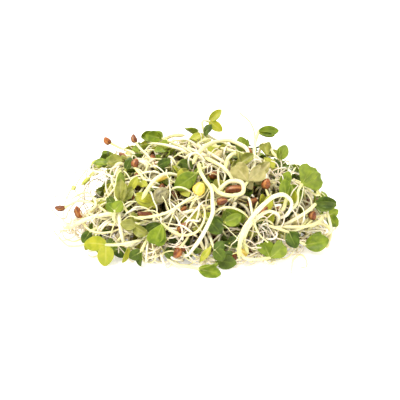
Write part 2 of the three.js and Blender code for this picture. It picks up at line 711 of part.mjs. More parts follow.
// A stem from what it carries down to its root mat.
function stem(sprout) {
  const points = sprout.points.map((p) => p.clone());
  const radii = points.map((_, k) => radiusAt(sprout, k));
  const down = points[1].clone().sub(points[0]).normalize();
  if (sprout.head === "pair") points[0].addScaledVector(down, NECK + CLEAR + 2 * DOME * radii[0]);
  if (sprout.head === "coat") points[0].addScaledVector(down, CLEAR + DOME * radii[0]);
  if (sprout.head === "bud") {
    const tip = points[0].clone();
    points.splice(0, 1, ...BUD.map((_, k) => tip.clone().addScaledVector(down, k * BUD_STEP)));
    radii.splice(0, 1, ...BUD);
  }
  return solid(tube(points, radii));
}

const UNDER = { width: 400, depth: 40 };
const under = new THREE.BoxGeometry(UNDER.width, UNDER.width, UNDER.depth);
const below = solid(under.translate(0, 0, -UNDER.depth / 2));
const aboveSurface = (body) => (body.boundingBox().min[2] < 0 ? body.subtract(below) : body);

function build() {
  const mats = matPlaces();
  const all = sprouts();
  const points = mats.map((m) => m.clone());
  const loose = mats.map(() => 0);
  const links = [];
  const clumpRadius = (mat) => (mat ? MAT_RADIUS : FOOT.radius);
  const guards = mats.map((_, mat) => {
    return { a: mat, b: mat, radius: clumpRadius(mat), floor: 0, id: -1 - mat, order: 0, mat, toMat: 0 };
  });
  const shares = mats.map(() => 0);
  all.forEach((sprout, id) => {
    Object.assign(sprout, linkPath(sprout.path, mats, shares), { first: points.length });
    sprout.points.forEach((p, k) => {
      points.push(p);
      loose.push(k === sprout.points.length - 1 ? 0 : sprout.weight);
      if (k === 0) return;
      const rest = p.clone().sub(sprout.points[k - 1]);
      links.push({ a: points.length - 2, b: points.length - 1, rest, length: rest.length() });
    });
    guards.push(...guardsOf(sprout, id));
  });
  settle(points, loose, links, guards);

  const heap = new THREE.Group();
  const two = (n) => String(n).padStart(2, "0");
  mats.forEach((place, mat) => {
    const clump = new THREE.IcosahedronGeometry(clumpRadius(mat), 1).translate(...place.toArray());
    const stems = all.filter((sprout) => sprout.mat === mat).map(stem);
    const bunch = union([solid(clump), ...stems]);
    heap.add(meshOf("stem_bunch_" + two(mat + 1), aboveSurface(bunch), "stem"));
  });
  all.filter((sprout) => sprout.head === "pair").forEach((sprout, k) => {
    heap.add(meshOf("leaf_pair_" + two(k + 1), aboveSurface(leafPair(sprout)), sprout.tone));
  });
  all.filter((sprout) => sprout.head === "coat").forEach((sprout, k) => {
    const name = sprout.tone === "kernel" ? "yellow_kernel" : "seed_coat_" + two(k + 1);
    heap.add(meshOf(name, aboveSurface(seedCoat(sprout)), sprout.tone));
  });
  return heap;
}

export default build();
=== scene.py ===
"""The looks of a loose heap of mixed cut sprouts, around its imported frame.

White stems tangle and run together at their matted roots. Pairs of green seed leaves, closed buds and seed
coats sit on their ends. The layout repeats the frame's own rule, so that each smooth stem and leaf lies where
its solid lies. It is worked out in millimetres, and the meshes are in metres.
"""

import math

import bpy
import numpy as np
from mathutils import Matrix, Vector, kdtree, noise


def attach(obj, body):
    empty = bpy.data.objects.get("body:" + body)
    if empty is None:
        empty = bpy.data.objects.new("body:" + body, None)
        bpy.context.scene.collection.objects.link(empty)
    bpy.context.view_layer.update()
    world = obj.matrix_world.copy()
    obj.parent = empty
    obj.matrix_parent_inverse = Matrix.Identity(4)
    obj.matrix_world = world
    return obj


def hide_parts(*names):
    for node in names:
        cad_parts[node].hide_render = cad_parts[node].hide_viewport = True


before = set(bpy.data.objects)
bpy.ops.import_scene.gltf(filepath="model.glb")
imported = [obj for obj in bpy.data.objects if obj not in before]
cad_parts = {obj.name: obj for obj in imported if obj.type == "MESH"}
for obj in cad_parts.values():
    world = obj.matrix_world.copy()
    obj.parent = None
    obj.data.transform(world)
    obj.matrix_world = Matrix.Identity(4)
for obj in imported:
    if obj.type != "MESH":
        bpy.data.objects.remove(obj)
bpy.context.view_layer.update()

MM = 0.001

# The heap is about half an ellipsoid. The front is given as an eye sees it, at this distance and slope.
HALF_LENGTH, HALF_DEPTH, HEIGHT = 53, 35, 31.5
EYE_DISTANCE = 600
EYE_SLOPE = math.radians(25)

LINK = 5  # the length of a stem's straight pieces while it settles
STEM_RADIUS = 0.7
COAT_STEM = 0.58  # the radius of a stem that carries a seed coat
ROOT_RADIUS = 0.42
TIP_RADIUS = 0.3
MAT_RADIUS = 1.5  # a mat is where the roots of a bunch meet
MAT_RINGS = ((6, 0.56, 0.2), (4, 0.3, 0.5))  # how many, how far out and how high
CROWDING = 1.6  # how much further a root runs for each sprout that a mat has already
FOOT_RADIUS, FOOT_CENTRE = 2.8, 1.5  # the mat that the heap stands on
FLOOR_SINK = 0.2
SPREAD_LEAF, SPREAD_COAT = 74, 125  # the least angle from the stem, in degrees

# The settling: the room kept, how often and how far rods are looked for, and how stiff a stem is
ROOM_GAP, ROOM_BLADE, ROOM_BLADE_FLOOR = 0.5, 1.3, 0.6
ROUNDS, RELIST, REACH, PUSH = 420, 10, 2.5, 0.6
STIFF, GIVE, LATE, EASED = 0.35, 0.03, 0.7, 0.15
SLACK = 1.2  # the most that two rods close in on each other in one round
HEAVY = 0.25  # how far a sprout of the front gives way, where one of the back gives way by 1

# The sprouts of the back: how many, how many with leaves, and where the k-th starts
FILL_COUNT, FILL_PAIRS, FILL_SEED, FILL_STRIDE, FILL_LEAFY = 38, 9, 79, 9.5, 0.6
FILL_ROUND = (2, 176, 0.618034, 0.1)
FILL_RISE, FILL_LIFT = (0.06, 0.9, 0.381966, 0.3), 1.5

# What the photograph shows in the front. A path's places are in mm across, up and out of the heap, as the eye
# sees them. A leaf or coat has its direction in the picture in degrees, its length, its width and its roll.
# A pair of leaves has its tone and shape, its stem's path and its leaves.
PAIRS = [
    ("lime", "oval", [(5, 40, 2), (3, 42, 2), (2, 39, 1.5), (3.5, 35, 1), (5, 30, -3)],
     [(42, 7, 3.6), (-42, 7, 4)]),
    ("dark", "oval", [(3, 35, 1), (9, 32, 1), (15, 31, 0), (22, 26, -4)],
     [(-22, 6.5, 4.8), (20, 5, 3.6, 60)]),
    ("green", "oval", [(-13.5, 32.5, 1), (-8, 31, 1), (-1, 28.5, 0), (6, 27, -4)],
     [(165, 7, 4.8), (122, 4, 2.8, 50)]),
    ("green", "oval", [(18.5, 29, 1.5), (19, 25, 1), (15, 20, -3)], [(105, 6.5, 5.4), (70, 5.5, 4, 65)]),
    ("green", "oval", [(23.5, 34.5, 3), (22.5, 32, 3), (21.5, 28, 2), (20.5, 22, 0), (17, 18, -4)],
     [(4, 8.5, 4.4), (-14, 7, 3.6, 55)]),
    ("green", "oval", [(31.5, 23.5, 4), (29.5, 25, 4), (27.5, 29, 4), (26, 31, 2), (22, 26, -4)],
     [(66, 6.5, 4.8), (95, 5, 3.6, 60)]),
    ("green", "heart", [(40.5, 15, 3), (39, 12.5, 3), (39.5, 9, 2), (36, 5, -3)],
     [(62, 8.5, 8), (14, 8.5, 7.6, 20)]),
    ("green", "oval", [(35.5, 9.5, 2), (35, 6, 1), (30, 3, -4)], [(100, 8, 5), (68, 6, 4, 55)]),
    ("dark", "oval", [(45.5, 7, 3), (43, 5, 3), (39, 2.5, 1), (34, 0, -4)],
     [(14, 8.5, 5), (-14, 8.5, 4.4, 15)]),
    ("green", "oval", [(51, 2.5, 1), (47, 3, 1), (43, 2, 0), (38, 0, -4)], [(-50, 6, 4.6), (28, 5, 3.6)]),
    ("green", "oval", [(42.5, -6.5, 2), (39, -5, 1.5), (34, -3, -1), (30, 2, -5)],
     [(8, 9.5, 7), (38, 8, 5.4, 35)]),
    ("dark", "oval", [(35.5, -2.5, 2.5), (31, -1, 1.5), (26, 2, -4)], [(-68, 7, 5.4), (-20, 5, 3.8, 50)]),
    ("green", "heart", [(29, -12, 2.5), (24, -12, 3), (19, -11.5, 2), (15, -8, -3)],
     [(118, 7, 6.4), (34, 8, 6.6, 15)]),
    ("green", "oval", [(0, 20, 2), (3, 23, 1), (8, 24, 0), (12, 20, -4)],
     [(-144, 10.5, 6.6), (-115, 6, 4, 60)]),
    ("green", "heart",
     [(-13, 1, 3), (-8.5, -2, 3.5), (-3.5, -3, 3.5), (1.5, -1, 3.5), (3.5, 4, 3), (2, 9, 0), (-2, 12, -5)],
     [(-112, 9, 7.4), (-70, 7.5, 6.2, 20)]),
    ("lime", "oval", [(-24, 12, 3), (-26, 15, 2), (-24, 19, 0), (-18, 21, -4)],
     [(-14, 8, 4), (-40, 9.5, 4.2)]),
    ("olive", "oval", [(-29, 9, 2), (-28, 6, 1), (-24, 3, -3)], [(98, 8.5, 4.8), (62, 7, 4.4, 15)]),
    ("green", "oval", [(-31, 6, 2), (-33, 3, 1), (-30, 1, -4)], [(48, 5, 4.6), (140, 4.6, 3.8, 20)]),
    ("lime", "oval", [(-34, -10.5, 2), (-31, -9, 2.5), (-26, -7, 0), (-20, -4, -5)],
     [(166, 8.5, 6), (-88, 8.5, 6.4)]),
    ("dark", "oval", [(-32, -6.5, 1), (-29, -3, 0), (-25, 0, -4)], [(-62, 6.5, 5.2), (178, 5, 4, 30)]),
    ("dark", "oval", [(-21.5, -9, 2), (-20, -6, 1), (-19, -2, -3)], [(-148, 5.5, 4.6), (-95, 6, 3.4, 45)]),
    ("green", "heart", [(11, 7.5, 2.5), (9, 10, 1), (12, 13, -3)], [(-30, 8, 6.4), (-72, 7.5, 6, 15)]),
    ("dark", "oval", [(4.5, 3.5, 2), (2, 5, 0), (0, 8, -5)], [(-48, 7.5, 5.8), (-8, 6, 4.6, 30)]),
    ("dark", "oval", [(7.5, -8.5, 2.5), (6, -5, 1), (5, -1, -3)], [(-46, 5.6, 5), (52, 5, 4.4, 25)]),
    ("green", "oval", [(1, -19, 1.5), (-4.5, -17.5, 1.5), (-10, -14, 1), (-12, -8, -3)],
     [(-12, 9, 5.2), (14, 8, 4.2, 55)]),
    ("dark", "oval", [(8, -16, 1.5), (5.5, -13.5, 2), (4.5, -10, 1), (4, -5, -3)],
     [(-14, 8.5, 5.8), (18, 7.5, 4.6, 20)]),
    ("olive", "heart", [(19.5, 16, 1.5), (18, 13, 0), (14, 10, -4)], [(128, 8.5, 7), (40, 8, 6.4, 15)]),
    ("dark", "oval", [(-41.5, -2, 1.5), (-38, 0, 1), (-33, 2, -3)], [(32, 6, 4), (-122, 5.6, 4.2)]),
    ("olive", "oval", [(-23.5, 0, 1.5), (-21, 2, 0), (-17, 3, -4)], [(168, 6, 4.4), (-22, 6.5, 4.8, 20)]),
]

# A seed coat has its tone, its stem's path and its own row.
COATS = [
    ("coat", [(-33.5, 31, 2), (-30, 29.5, 1.5), (-25, 28, 1), (-20, 26, -4)], (140, 3.6, 2.8)),
    ("coat", [(-24, 31.5, 1.5), (-21, 28, 1), (-16, 25, -4)], (105, 3.6, 2.5)),
    ("coat", [(-24, 22, 2), (-21, 19, 0), (-18, 15, -4)], (60, 3.6, 3)),
    ("coat", [(-51, 7, 1.5), (-45, 9, 3), (-39, 8, 2), (-34, 4, -3)], (175, 4.4, 2.4)),
    ("coat", [(-44.5, 3.5, 2), (-41, -1, 3), (-35, -2, 1), (-30, 1, -4)], (115, 5, 3)),
    ("coat", [(27, 14, 2), (29, 10, 1), (26, 6, -4)], (80, 4.2, 3.4)),
    ("coat", [(45, 2, 2), (41, -1, 1), (36, -2, -3)], (75, 3.6, 3.2)),
    ("coat", [(-6.5, -8, 1.5), (-4, -5, 0), (-2, 0, -5)], (-120, 4, 3.2)),
    ("coat", [(8, 8.5, 1.5), (3, 7, -1), (0, 4, -5)], (15, 4.4, 3)),
    ("kernel", [(1.5, 12.5, 2), (-1, 10, 0), (-3, 5, -5)], (70, 5, 4.6)),
]

# A plain stem has its kind of head, its radius and its path.
STRANDS = [
    ("bud", 0.88,
     [(-1, 24, 1), (2, 27.5, 2.5), (7, 30, 3), (13, 30.5, 3), (18, 28.5, 2), (21, 24, 0), (22, 18, -5)]),
    ("bud", 0.92, [(11.5, 22, 2), (12.5, 25, 3), (16, 26.8, 3), (20, 26.5, 1.5), (24, 22, -4)]),
    ("bud", 0.84, [(4, 26, 1.5), (9.5, 22.5, 2.5), (14, 19.5, 2), (17, 14, -4)]),
    ("bud", 0.8,
     [(0.5, 23, 3), (1.5, 18, 3.5), (5, 13.5, 3.5), (6, 8.5, 3.5), (6.5, 4.5, 3.5), (4, -1, 3),
      (0, -7, 2.5), (-5, -12, 1), (-6, -8, -4)]),
    ("tip", 0.55, [(22, 2, 1.5), (20, 3.5, 3), (15, 6, 3.5), (10, 6.5, 2.5), (7, 4, 0), (5, 2, -5)]),
    ("tip", 0.6, [(27, -6, 1.5), (23, -2, 3), (21.5, 3, 3), (20.5, 8, 3), (19.5, 12, 1), (17, 14, -4)]),
    ("bud", 0.64, [(-24, 3, 2), (-17, 3.5, 3), (-11, 5, 3), (-6, 8, 3), (0, 12, 0), (4, 14, -5)]),
    ("tip", 0.5, [(-47, 19, 3), (-41, 20, 3), (-34, 19.5, 2), (-29, 17, -2)]),
    ("bud", 0.84, [(-50, -1, 2), (-44, 1, 3), (-38, 3.5, 2.5), (-32, 5, 0), (-27, 4, -5)]),
    ("bud", 0.96,
     [(16, -12, 2), (16.5, -4, 3.5), (21, 3.5, 4), (27, 9, 4), (32, 11, 4), (36, 9, 3), (34.5, 4, 1),
      (31, 3, -5)]),
    ("bud", 0.88, [(20, -9, 2), (18.5, -3, 2), (21.5, 2.5, 2.5), (27, 6, 3), (32, 5, 1), (33, 0, -5)]),
    ("bud", 0.8, [(-21, 10, 2.5), (-18, 14.5, 3), (-14, 18.5, 3), (-9, 21, 0), (-4, 20, -5)]),
    ("bud", 0.84, [(-4, 35, 1), (-9, 33.5, 2), (-15, 31, 1.5), (-20, 28, 0), (-18, 24, -5)]),
    ("tip", 0.45,
     [(42, -17, 1), (44, -17.5, 0.6), (43, -12.5, 1.5), (39, -13.5, 0.8), (37, -19, 0.6),
      (33, -16, 0.8), (29, -10, 0)]),
    ("bud", 0.76, [(52.5, -8.5, 1), (54, -4, 2), (51, 0, 3), (47, 1.5, 2), (42, 0, 0), (37, 2, -5)]),
    ("bud", 0.72, [(48, 4.5, 3), (44, 1.5, 3.5), (38, 0, 3), (31, 0.5, 1), (26, 0, -4)]),
    ("tip", 0.4, [(17, 42, 3), (21, 38, 3), (23, 33, 1), (21, 27, -4)]),
    ("tip", 0.45, [(38, 21, 3), (35, 17.5, 2), (30, 18, 1), (25, 17, -4)]),
    ("bud", 0.92,
     [(6, 16, 2.5), (9, 12.5, 3), (13.5, 11.5, 3.5), (18, 13, 3.5), (17.5, 16.5, 3), (12, 17.6, 1),
      (8, 14, -4)]),
    ("tip", 0.5, [(-57, -3, 1), (-52, -8, 1), (-45, -7, 1.5), (-38, -5, 0)]),
    ("tip", 0.58, [(-48, 10, 2), (-42, 12, 3), (-38, 8, 3), (-41, 5, 3), (-36, 3, 0)]),
    ("bud", 0.68, [(-30, 22, 1), (-31, 14, 3), (-30, 6, 3), (-29, -2, 3), (-27, -8, 1), (-24, -4, -4)]),
]

RIGHT = np.array([1.0, 0.0, 0.0])
UP = np.array([0.0, math.sin(EYE_SLOPE), math.cos(EYE_SLOPE)])
NEAR = np.array([0.0, -math.cos(EYE_SLOPE), math.sin(EYE_SLOPE)])
VERTICAL = np.array([0.0, 0.0, 1.0])
HALF_SIZES = np.array([HALF_LENGTH, HALF_DEPTH, HEIGHT], float)
FINE_SHARES = np.linspace(0, 1, 201)


def draws(seed):
    """Seeded draws from 0 to 1."""
    state = seed
    while True:
        state = state * 16807 % 2147483647
        yield state / 2147483647


def unit(v):
    return v / (np.linalg.norm(v) or 1)


def turned(v, axis, angle):
    """v turned about a unit axis."""
    side = np.cross(axis, v)
    return v * math.cos(angle) + side * math.sin(angle) + axis * (axis @ v) * (1 - math.cos(angle))


def outward(p):
    """The heap's outward direction at a point."""
    return unit(p / HALF_SIZES**2)


def level_along(out, angle):
    """A direction along the heap's surface, turned by an angle from the level one."""
    return turned(unit(np.cross(VERTICAL, out)), out, angle)


def on_dome(azimuth, rise):
    """A place on the upper half of a sphere of radius 1."""
    level = math.sqrt(1 - rise**2)
    return np.array([level * math.cos(azimuth), level * math.sin(azimuth), rise])


def seen(place):
    """A place on the front of the heap, or on the surface before it, from where the eye sees it."""
    across, up, out = place
    eye = NEAR * EYE_DISTANCE
    ray = RIGHT * across + UP * up - eye
    start, along = eye / HALF_SIZES, ray / HALF_SIZES
    middle = -(start @ along) / (along @ along)
    miss = start + along * middle
    depth = math.sqrt(max(0, 1 - miss @ miss) / (along @ along))
    point = eye + ray * (middle - depth)
    if point[2] > 0:
        return point + outward(point) * out
    return eye + ray * (-eye[2] / ray[2]) + VERTICAL * max(out, STEM_RADIUS)


def mat_places():
    """The centres of the root mats: the foot, a ring near the surface and a higher ring inside it."""
    places = [np.array([0.0, 0.0, FOOT_CENTRE])]
    for count, spread, height in MAT_RINGS:
        for k in range(count):
            angle = (k + 0.5) / count * 2 * math.pi
            level = np.array([math.cos(angle) * spread, math.sin(angle) * spread, height])
            places.append(level * HALF_SIZES)
    return places


def spaced(k, first, sweep, step, start):
    """The k-th of values that are spread evenly over a range."""
    return first + sweep * ((k * step + start) % 1)


def fill_sprout(k, leafy, draw):
    """A sprout on the top or the back of the heap."""
    azimuth = math.radians(90 + (spaced(k, *FILL_ROUND) - 90) * (FILL_LEAFY if leafy else 1))
    top = on_dome(azimuth, spaced(k, *FILL_RISE)) * HALF_SIZES + VERTICAL * FILL_LIFT
    out = outward(top)
    heading = level_along(out, 2 * math.pi * next(draw))
    bend = -1 if next(draw) < 0.5 else 1
    bend *= 0.7 + 0.7 * next(draw)
    path = [top.copy()]
    for sunk in (0.5, 2.5, 6):
        top = top + heading * (FILL_STRIDE * (0.8 + 0.4 * next(draw))) - out * sunk
        top[2] = max(top[2], STEM_RADIUS)
        path.append(top.copy())
        heading = turned(heading, out, bend)
    return {"path": path, "out": out, "radius": STEM_RADIUS * (0.85 + 0.4 * next(draw))}


def leaf_axes(along, facing):
    across = unit(np.cross(facing, along))
    return {"along": along, "across": across, "facing": unit(np.cross(along, across))}


def front_leaf(angle, length, width, roll=0, pitch=8):
    """A leaf given by its direction in the picture."""
    angle, pitch = math.radians(angle), math.radians(pitch)
    along = (RIGHT * math.cos(angle) + UP * math.sin(angle)) * math.cos(pitch) + NEAR * math.sin(pitch)
    return {"length": length, "width": width, **leaf_axes(along, turned(NEAR, along, math.radians(roll)))}


def spread(leaf, path, least):
    """A leaf or a coat turned away from its own stem, where it would lie against it."""
    down = unit(path[1] - path[0])
    turn = math.radians(least) - math.acos(max(-1, min(1, leaf["along"] @ down)))
    if turn < 0:
        return leaf
    axis = unit(np.cross(down, leaf["along"]))
    return {**leaf, **leaf_axes(turned(leaf["along"], axis, turn), turned(leaf["facing"], axis, turn))}


def back_leaf(out, turn, draw):
    """One of the two leaves of a sprout on the back."""
    along = unit(level_along(out, turn) + out * (0.25 + 0.35 * next(draw)))
    size = {"length": 7 + 2.5 * next(draw), "width": 4.6 + 2.4 * next(draw)}
    return {**size, **leaf_axes(along, out)}


def sprouts():
    """Every sprout of the frame, with its path."""
    made = []
    for tone, shape, path, rows in PAIRS:
        leaves = [front_leaf(*row) for row in rows]
        pair = {"head": "pair", "tone": tone, "shape": shape, "leaves": leaves}
        made.append({**pair, "radius": STEM_RADIUS, "path": path})
    for tone, path, row in COATS:
        coat = {"head": "coat", "tone": tone, "coat": front_leaf(*row)}
        made.append({**coat, "radius": COAT_STEM, "path": path})
    for head, radius, path in STRANDS:
        made.append({"head": head, "radius": radius, "path": path})
    for sprout in made:
        sprout["path"] = [seen(place) for place in sprout["path"]]
        sprout["weight"] = HEAVY
    draw = draws(FILL_SEED)
    tones = ["green", "dark", "lime", "green"]
    for k in range(FILL_COUNT):
        leafy = k % 3 == 0 and k // 3 < FILL_PAIRS
        sprout = {"head": "bud", "weight": 1, **fill_sprout(k, leafy, draw)}
        if leafy:
            turn = 2 * math.pi * next(draw)
            sprout["head"] = "pair"
            sprout["tone"] = tones[k // 3 % len(tones)]
            sprout["shape"] = "heart" if k % 2 else "oval"
            sprout["leaves"] = [back_leaf(sprout["out"], turn, draw)]
            second = turn + 1.6 + next(draw)
            sprout["leaves"].append(back_leaf(sprout["out"], second, draw))
        made.append(sprout)
    for sprout in made:
        if "leaves" in sprout:
            sprout["leaves"] = [spread(leaf, sprout["path"], SPREAD_LEAF) for leaf in sprout["leaves"]]
        if "coat" in sprout:
            sprout["coat"] = spread(sprout["coat"], sprout["path"], SPREAD_COAT)
    return made


def spline(points, shares):
    """Points at these shares, from 0 to 1, of a Catmull-Rom curve's parameter."""
    points = np.asarray(points, float)
    ends = np.vstack([2 * points[0] - points[1], points, 2 * points[-1] - points[-2]])
    place = np.asarray(shares) * (len(points) - 1)
    k = np.minimum(place.astype(int), len(points) - 2)
    w = (place - k)[:, None]
    p0, p1, p2, p3 = ends[k], ends[k + 1], ends[k + 2], ends[k + 3]
    t0, t1 = (p2 - p0) / 2, (p3 - p1) / 2
    return p1 + t0 * w + (3 * (p2 - p1) - 2 * t0 - t1) * w**2 + (2 * (p1 - p2) + t0 + t1) * w**3


def runs(points):
    """How far along a row of points each of them lies."""
    return np.concatenate([[0], np.cumsum(np.linalg.norm(np.diff(points, axis=0), axis=1))])


def length_of(points):
    """The length of a Catmull-Rom curve."""
    return runs(spline(points, FINE_SHARES))[-1]


def even(points, count):
    """A Catmull-Rom curve cut into count stretches of one length."""
    lengths = runs(spline(points, FINE_SHARES))
    return spline(points, np.interp(np.linspace(0, lengths[-1], count + 1), lengths, FINE_SHARES))


def link_path(path, mats, shares):
    """A sprout's path, run on to a root mat and cut into links of one length."""
    costs = [np.linalg.norm(m - path[-1]) + CROWDING * n for m, n in zip(mats, shares)]
    mat = int(np.argmin(costs))
    shares[mat] += 1
    route = [*path, mats[mat]]
    count = max(4, int(math.floor(length_of(route) / LINK + 0.5)))
    return {"mat": mat, "points": even(route, count)}


def radius_at(sprout, k):
    """A stem's radius at its k-th point."""
    share = k / (len(sprout["points"]) - 1)
    root = min(1, max(0, (share - 0.45) / 0.55))
    root = sprout["radius"] + (ROOT_RADIUS - sprout["radius"]) * root * root * (3 - 2 * root)
    return TIP_RADIUS + (root - TIP_RADIUS) * min(1, 3 * share) if sprout["head"] == "tip" else root


class Rod:
    """A straight rod between two points of the layout, with offsets from those points."""

    __slots__ = "a b radius floor owner order mat to_mat lead trail start end".split()

    def __init__(self, a, b, radius, floor, owner, order, mat, to_mat, lead=(0, 0, 0), trail=(0, 0, 0)):
        self.a, self.b, self.radius, self.floor = a, b, radius, floor
        self.owner, self.order, self.mat, self.to_mat = owner, order, mat, to_mat
        self.lead, self.trail = tuple(map(float, lead)), tuple(map(float, trail))
        self.start = self.end = (0.0, 0.0, 0.0)

    def place(self, points):
        p, q, lead, trail = points[self.a], points[self.b], self.lead, self.trail
        self.start = (p[0] + lead[0], p[1] + lead[1], p[2] + lead[2])
        self.end = (q[0] + trail[0], q[1] + trail[1], q[2] + trail[2])


def rods_of(sprout, owner):
    """The rods that keep a sprout clear of the others."""
    first, mat = sprout["first"], sprout["mat"]
    last = len(sprout["points"]) - 1
    rods = []
    for k in range(last):
        radius = max(radius_at(sprout, k), radius_at(sprout, k + 1))
        rods.append(Rod(first + k, first + k + 1, radius, radius - FLOOR_SINK, owner, k, mat, last - 1 - k))
    for leaf in sprout.get("leaves", []):
        side = max(0, leaf["width"] / 2 - ROOM_BLADE)
        for low, high, half in ((0.15, 0.9, 0), (0.4, 0.4, side), (0.72, 0.72, side)):
            lead = leaf["along"] * leaf["length"] * low - leaf["across"] * half
            trail = leaf["along"] * leaf["length"] * high + leaf["across"] * half
            rods.append(Rod(first, first, ROOM_BLADE, ROOM_BLADE_FLOOR, owner, -2, mat, last, lead, trail))
    if "coat" in sprout:
        coat = sprout["coat"]
        half = coat["width"] / 2
        lead, trail = coat["along"] * half, coat["along"] * (coat["length"] - half)
        rods.append(Rod(first, first, half, half, owner, -2, mat, last, lead, trail))
    return rods


def joined(a, b):
    return (a.owner == b.owner and abs(a.order - b.order) <= 2) or (
        a.mat == b.mat and a.to_mat <= 2 and b.to_mat <= 2
    )


def neighbours(rods):
    """The pairs of rods that are near enough to meet soon, as two rows of indices."""
    starts, ends = np.array([r.start for r in rods]), np.array([r.end for r in rods])
    middles = (starts + ends) / 2
    reaches = np.linalg.norm(ends - starts, axis=1) / 2 + np.array([r.radius for r in rods]) + REACH / 2
    found = []
    for i, rod in enumerate(rods):
        away = middles[i + 1 :] - middles[i]
        near = np.nonzero((away * away).sum(1) < (reaches[i + 1 :] + reaches[i]) ** 2)[0] + i + 1
        found += [(i, j) for j in near if not joined(rod, rods[j])]
    return np.array(found).T


def touching(rods, pairs):
    """Those of the pairs that touch now, or are less than a slack from it."""
    starts, ends = np.array([r.start for r in rods]), np.array([r.end for r in rods])
    radii = np.array([r.radius for r in rods])
    i, j = pairs
    u, v, w = ends[i] - starts[i], ends[j] - starts[j], starts[i] - starts[j]
    uu, uv, vv = (u * u).sum(1) + 1e-9, (u * v).sum(1), (v * v).sum(1) + 1e-9
    uw, vw = (u * w).sum(1), (v * w).sum(1)
    flat = uu * vv - uv * uv
    s = np.where(flat > 1e-6, np.clip((uv * vw - vv * uw) / np.maximum(flat, 1e-6), 0, 1), 0.5)
    t = np.clip((uv * s + vw) / vv, 0, 1)
    s = np.clip((uv * t - uw) / uu, 0, 1)
    gap = np.linalg.norm(w + u * s[:, None] - v * t[:, None], axis=1) - radii[i] - radii[j]
    return pairs[:, gap < ROOM_GAP + SLACK].T.tolist()


def give(rod, share, loose):
    if rod.a == rod.b:
        return loose[rod.a]
    return loose[rod.a] * (1 - share) ** 2 + loose[rod.b] * share**2


def push(rod, share, move, points, loose):
    for at, part in ((rod.a, 1 - share), (rod.b, share)):
        p, w = points[at], loose[at] * part
        points[at] = (p[0] + move[0] * w, p[1] + move[1] * w, p[2] + move[2] * w)
    rod.place(points)


def press(a, b, points, loose):
    """Pushes two rods apart where they are too close."""
    ax, ay, az = a.start
    bx, by, bz = b.start
    ux, uy, uz = a.end[0] - ax, a.end[1] - ay, a.end[2] - az
    vx, vy, vz = b.end[0] - bx, b.end[1] - by, b.end[2] - bz
    wx, wy, wz = ax - bx, ay - by, az - bz
    uu = ux * ux + uy * uy + uz * uz + 1e-9
    uv = ux * vx + uy * vy + uz * vz
    vv = vx * vx + vy * vy + vz * vz + 1e-9
    uw = ux * wx + uy * wy + uz * wz
    vw = vx * wx + vy * wy + vz * wz
    flat = uu * vv - uv * uv
    s = min(1, max(0, (uv * vw - vv * uw) / flat)) if flat > 1e-6 else 0.5
    t = min(1, max(0, (uv * s + vw) / vv))
    s = min(1, max(0, (uv * t - uw) / uu))
    x, y, z = wx + ux * s - vx * t, wy + uy * s - vy * t, wz + uz * s - vz * t
    distance = math.sqrt(x * x + y * y + z * z) or 1e-6
    depth = a.radius + b.radius + ROOM_GAP - distance
    if depth <= 0:
        return
    ease = give(a, s, loose) + give(b, t, loose)
    if ease == 0:
        return
    size = PUSH * depth / distance / ease
    push(a, s, (x * size, y * size, z * size), points, loose)
    push(b, t, (-x * size, -y * size, -z * size), points, loose)


def settle(points, loose, links, rods):
    """Moves the points until all rods are clear of each other and of the surface below."""
    for turn in range(ROUNDS):
        for rod in rods:
            rod.place(points)
        if turn % RELIST == 0:
            pairs = neighbours(rods)
        for i, j in touching(rods, pairs):
            press(rods[i], rods[j], points, loose)
        stiff = STIFF * (EASED if turn > ROUNDS * LATE else 1)
        for link in links:
            a, b, rest, length = link
            p, q, total = points[a], points[b], loose[a] + loose[b]
            strain = (q[0] - p[0] - rest[0], q[1] - p[1] - rest[1], q[2] - p[2] - rest[2])
            if total == 0:
                continue
            wa, wb = stiff * loose[a] / total, -stiff * loose[b] / total
            points[a] = (p[0] + strain[0] * wa, p[1] + strain[1] * wa, p[2] + strain[2] * wa)
            points[b] = (q[0] + strain[0] * wb, q[1] + strain[1] * wb, q[2] + strain[2] * wb)
            rest = [r + s * GIVE for r, s in zip(rest, strain)]
            size = length / math.sqrt(rest[0] ** 2 + rest[1] ** 2 + rest[2] ** 2)
            link[2] = (rest[0] * size, rest[1] * size, rest[2] * size)
        for rod in rods:
            for at, offset in ((rod.a, rod.lead), (rod.b, rod.trail)):
                p = points[at]
                low = rod.floor - p[2] - offset[2]
                if low > 0 and loose[at]:
                    points[at] = (p[0], p[1], p[2] + low)


def lay_out():
    """The settled sprouts and the places of their root mats."""
    mats, made = mat_places(), sprouts()
    points, loose = [tuple(m) for m in mats], [0] * len(mats)
    rods = [
        Rod(m, m, FOOT_RADIUS if m == 0 else MAT_RADIUS, 0, -1 - m, 0, m, 0) for m in range(len(mats))
    ]
    links, shares = [], [0] * len(mats)
    for owner, sprout in enumerate(made):
        sprout.update(link_path(sprout["path"], mats, shares), first=len(points))
        line = sprout["points"]
        for k, p in enumerate(line):
            points.append(tuple(p))
            loose.append(0 if k == len(line) - 1 else sprout["weight"])
            if k:
                rest = tuple(p - line[k - 1])
                links.append([len(points) - 2, len(points) - 1, rest, float(np.linalg.norm(rest))])
        rods += rods_of(sprout, owner)
    settle(points, loose, links, rods)
    for sprout in made:
        first = sprout["first"]
        sprout["points"] = np.array(points[first : first + len(sprout["points"])])
    return made, mats


# Fillers: sprouts and roots that the frame leaves to the looks
FILLER_SEED = 2026
FILLER_STEP = 1.3
ALL_ROUND, BACK_HALF = (0, 2 * math.pi), (-0.15, math.pi + 0.15)


def level_of(p):
    """0 at the heap's middle and 1 on its surface."""
    return np.linalg.norm(p / HALF_SIZES)


def random_direction(rng):
    return unit(rng.normal(size=3))


def drawn(rng, value):
    """A number as it is, or one drawn from a range."""
    return rng.uniform(*value) if isinstance(value, tuple) else value


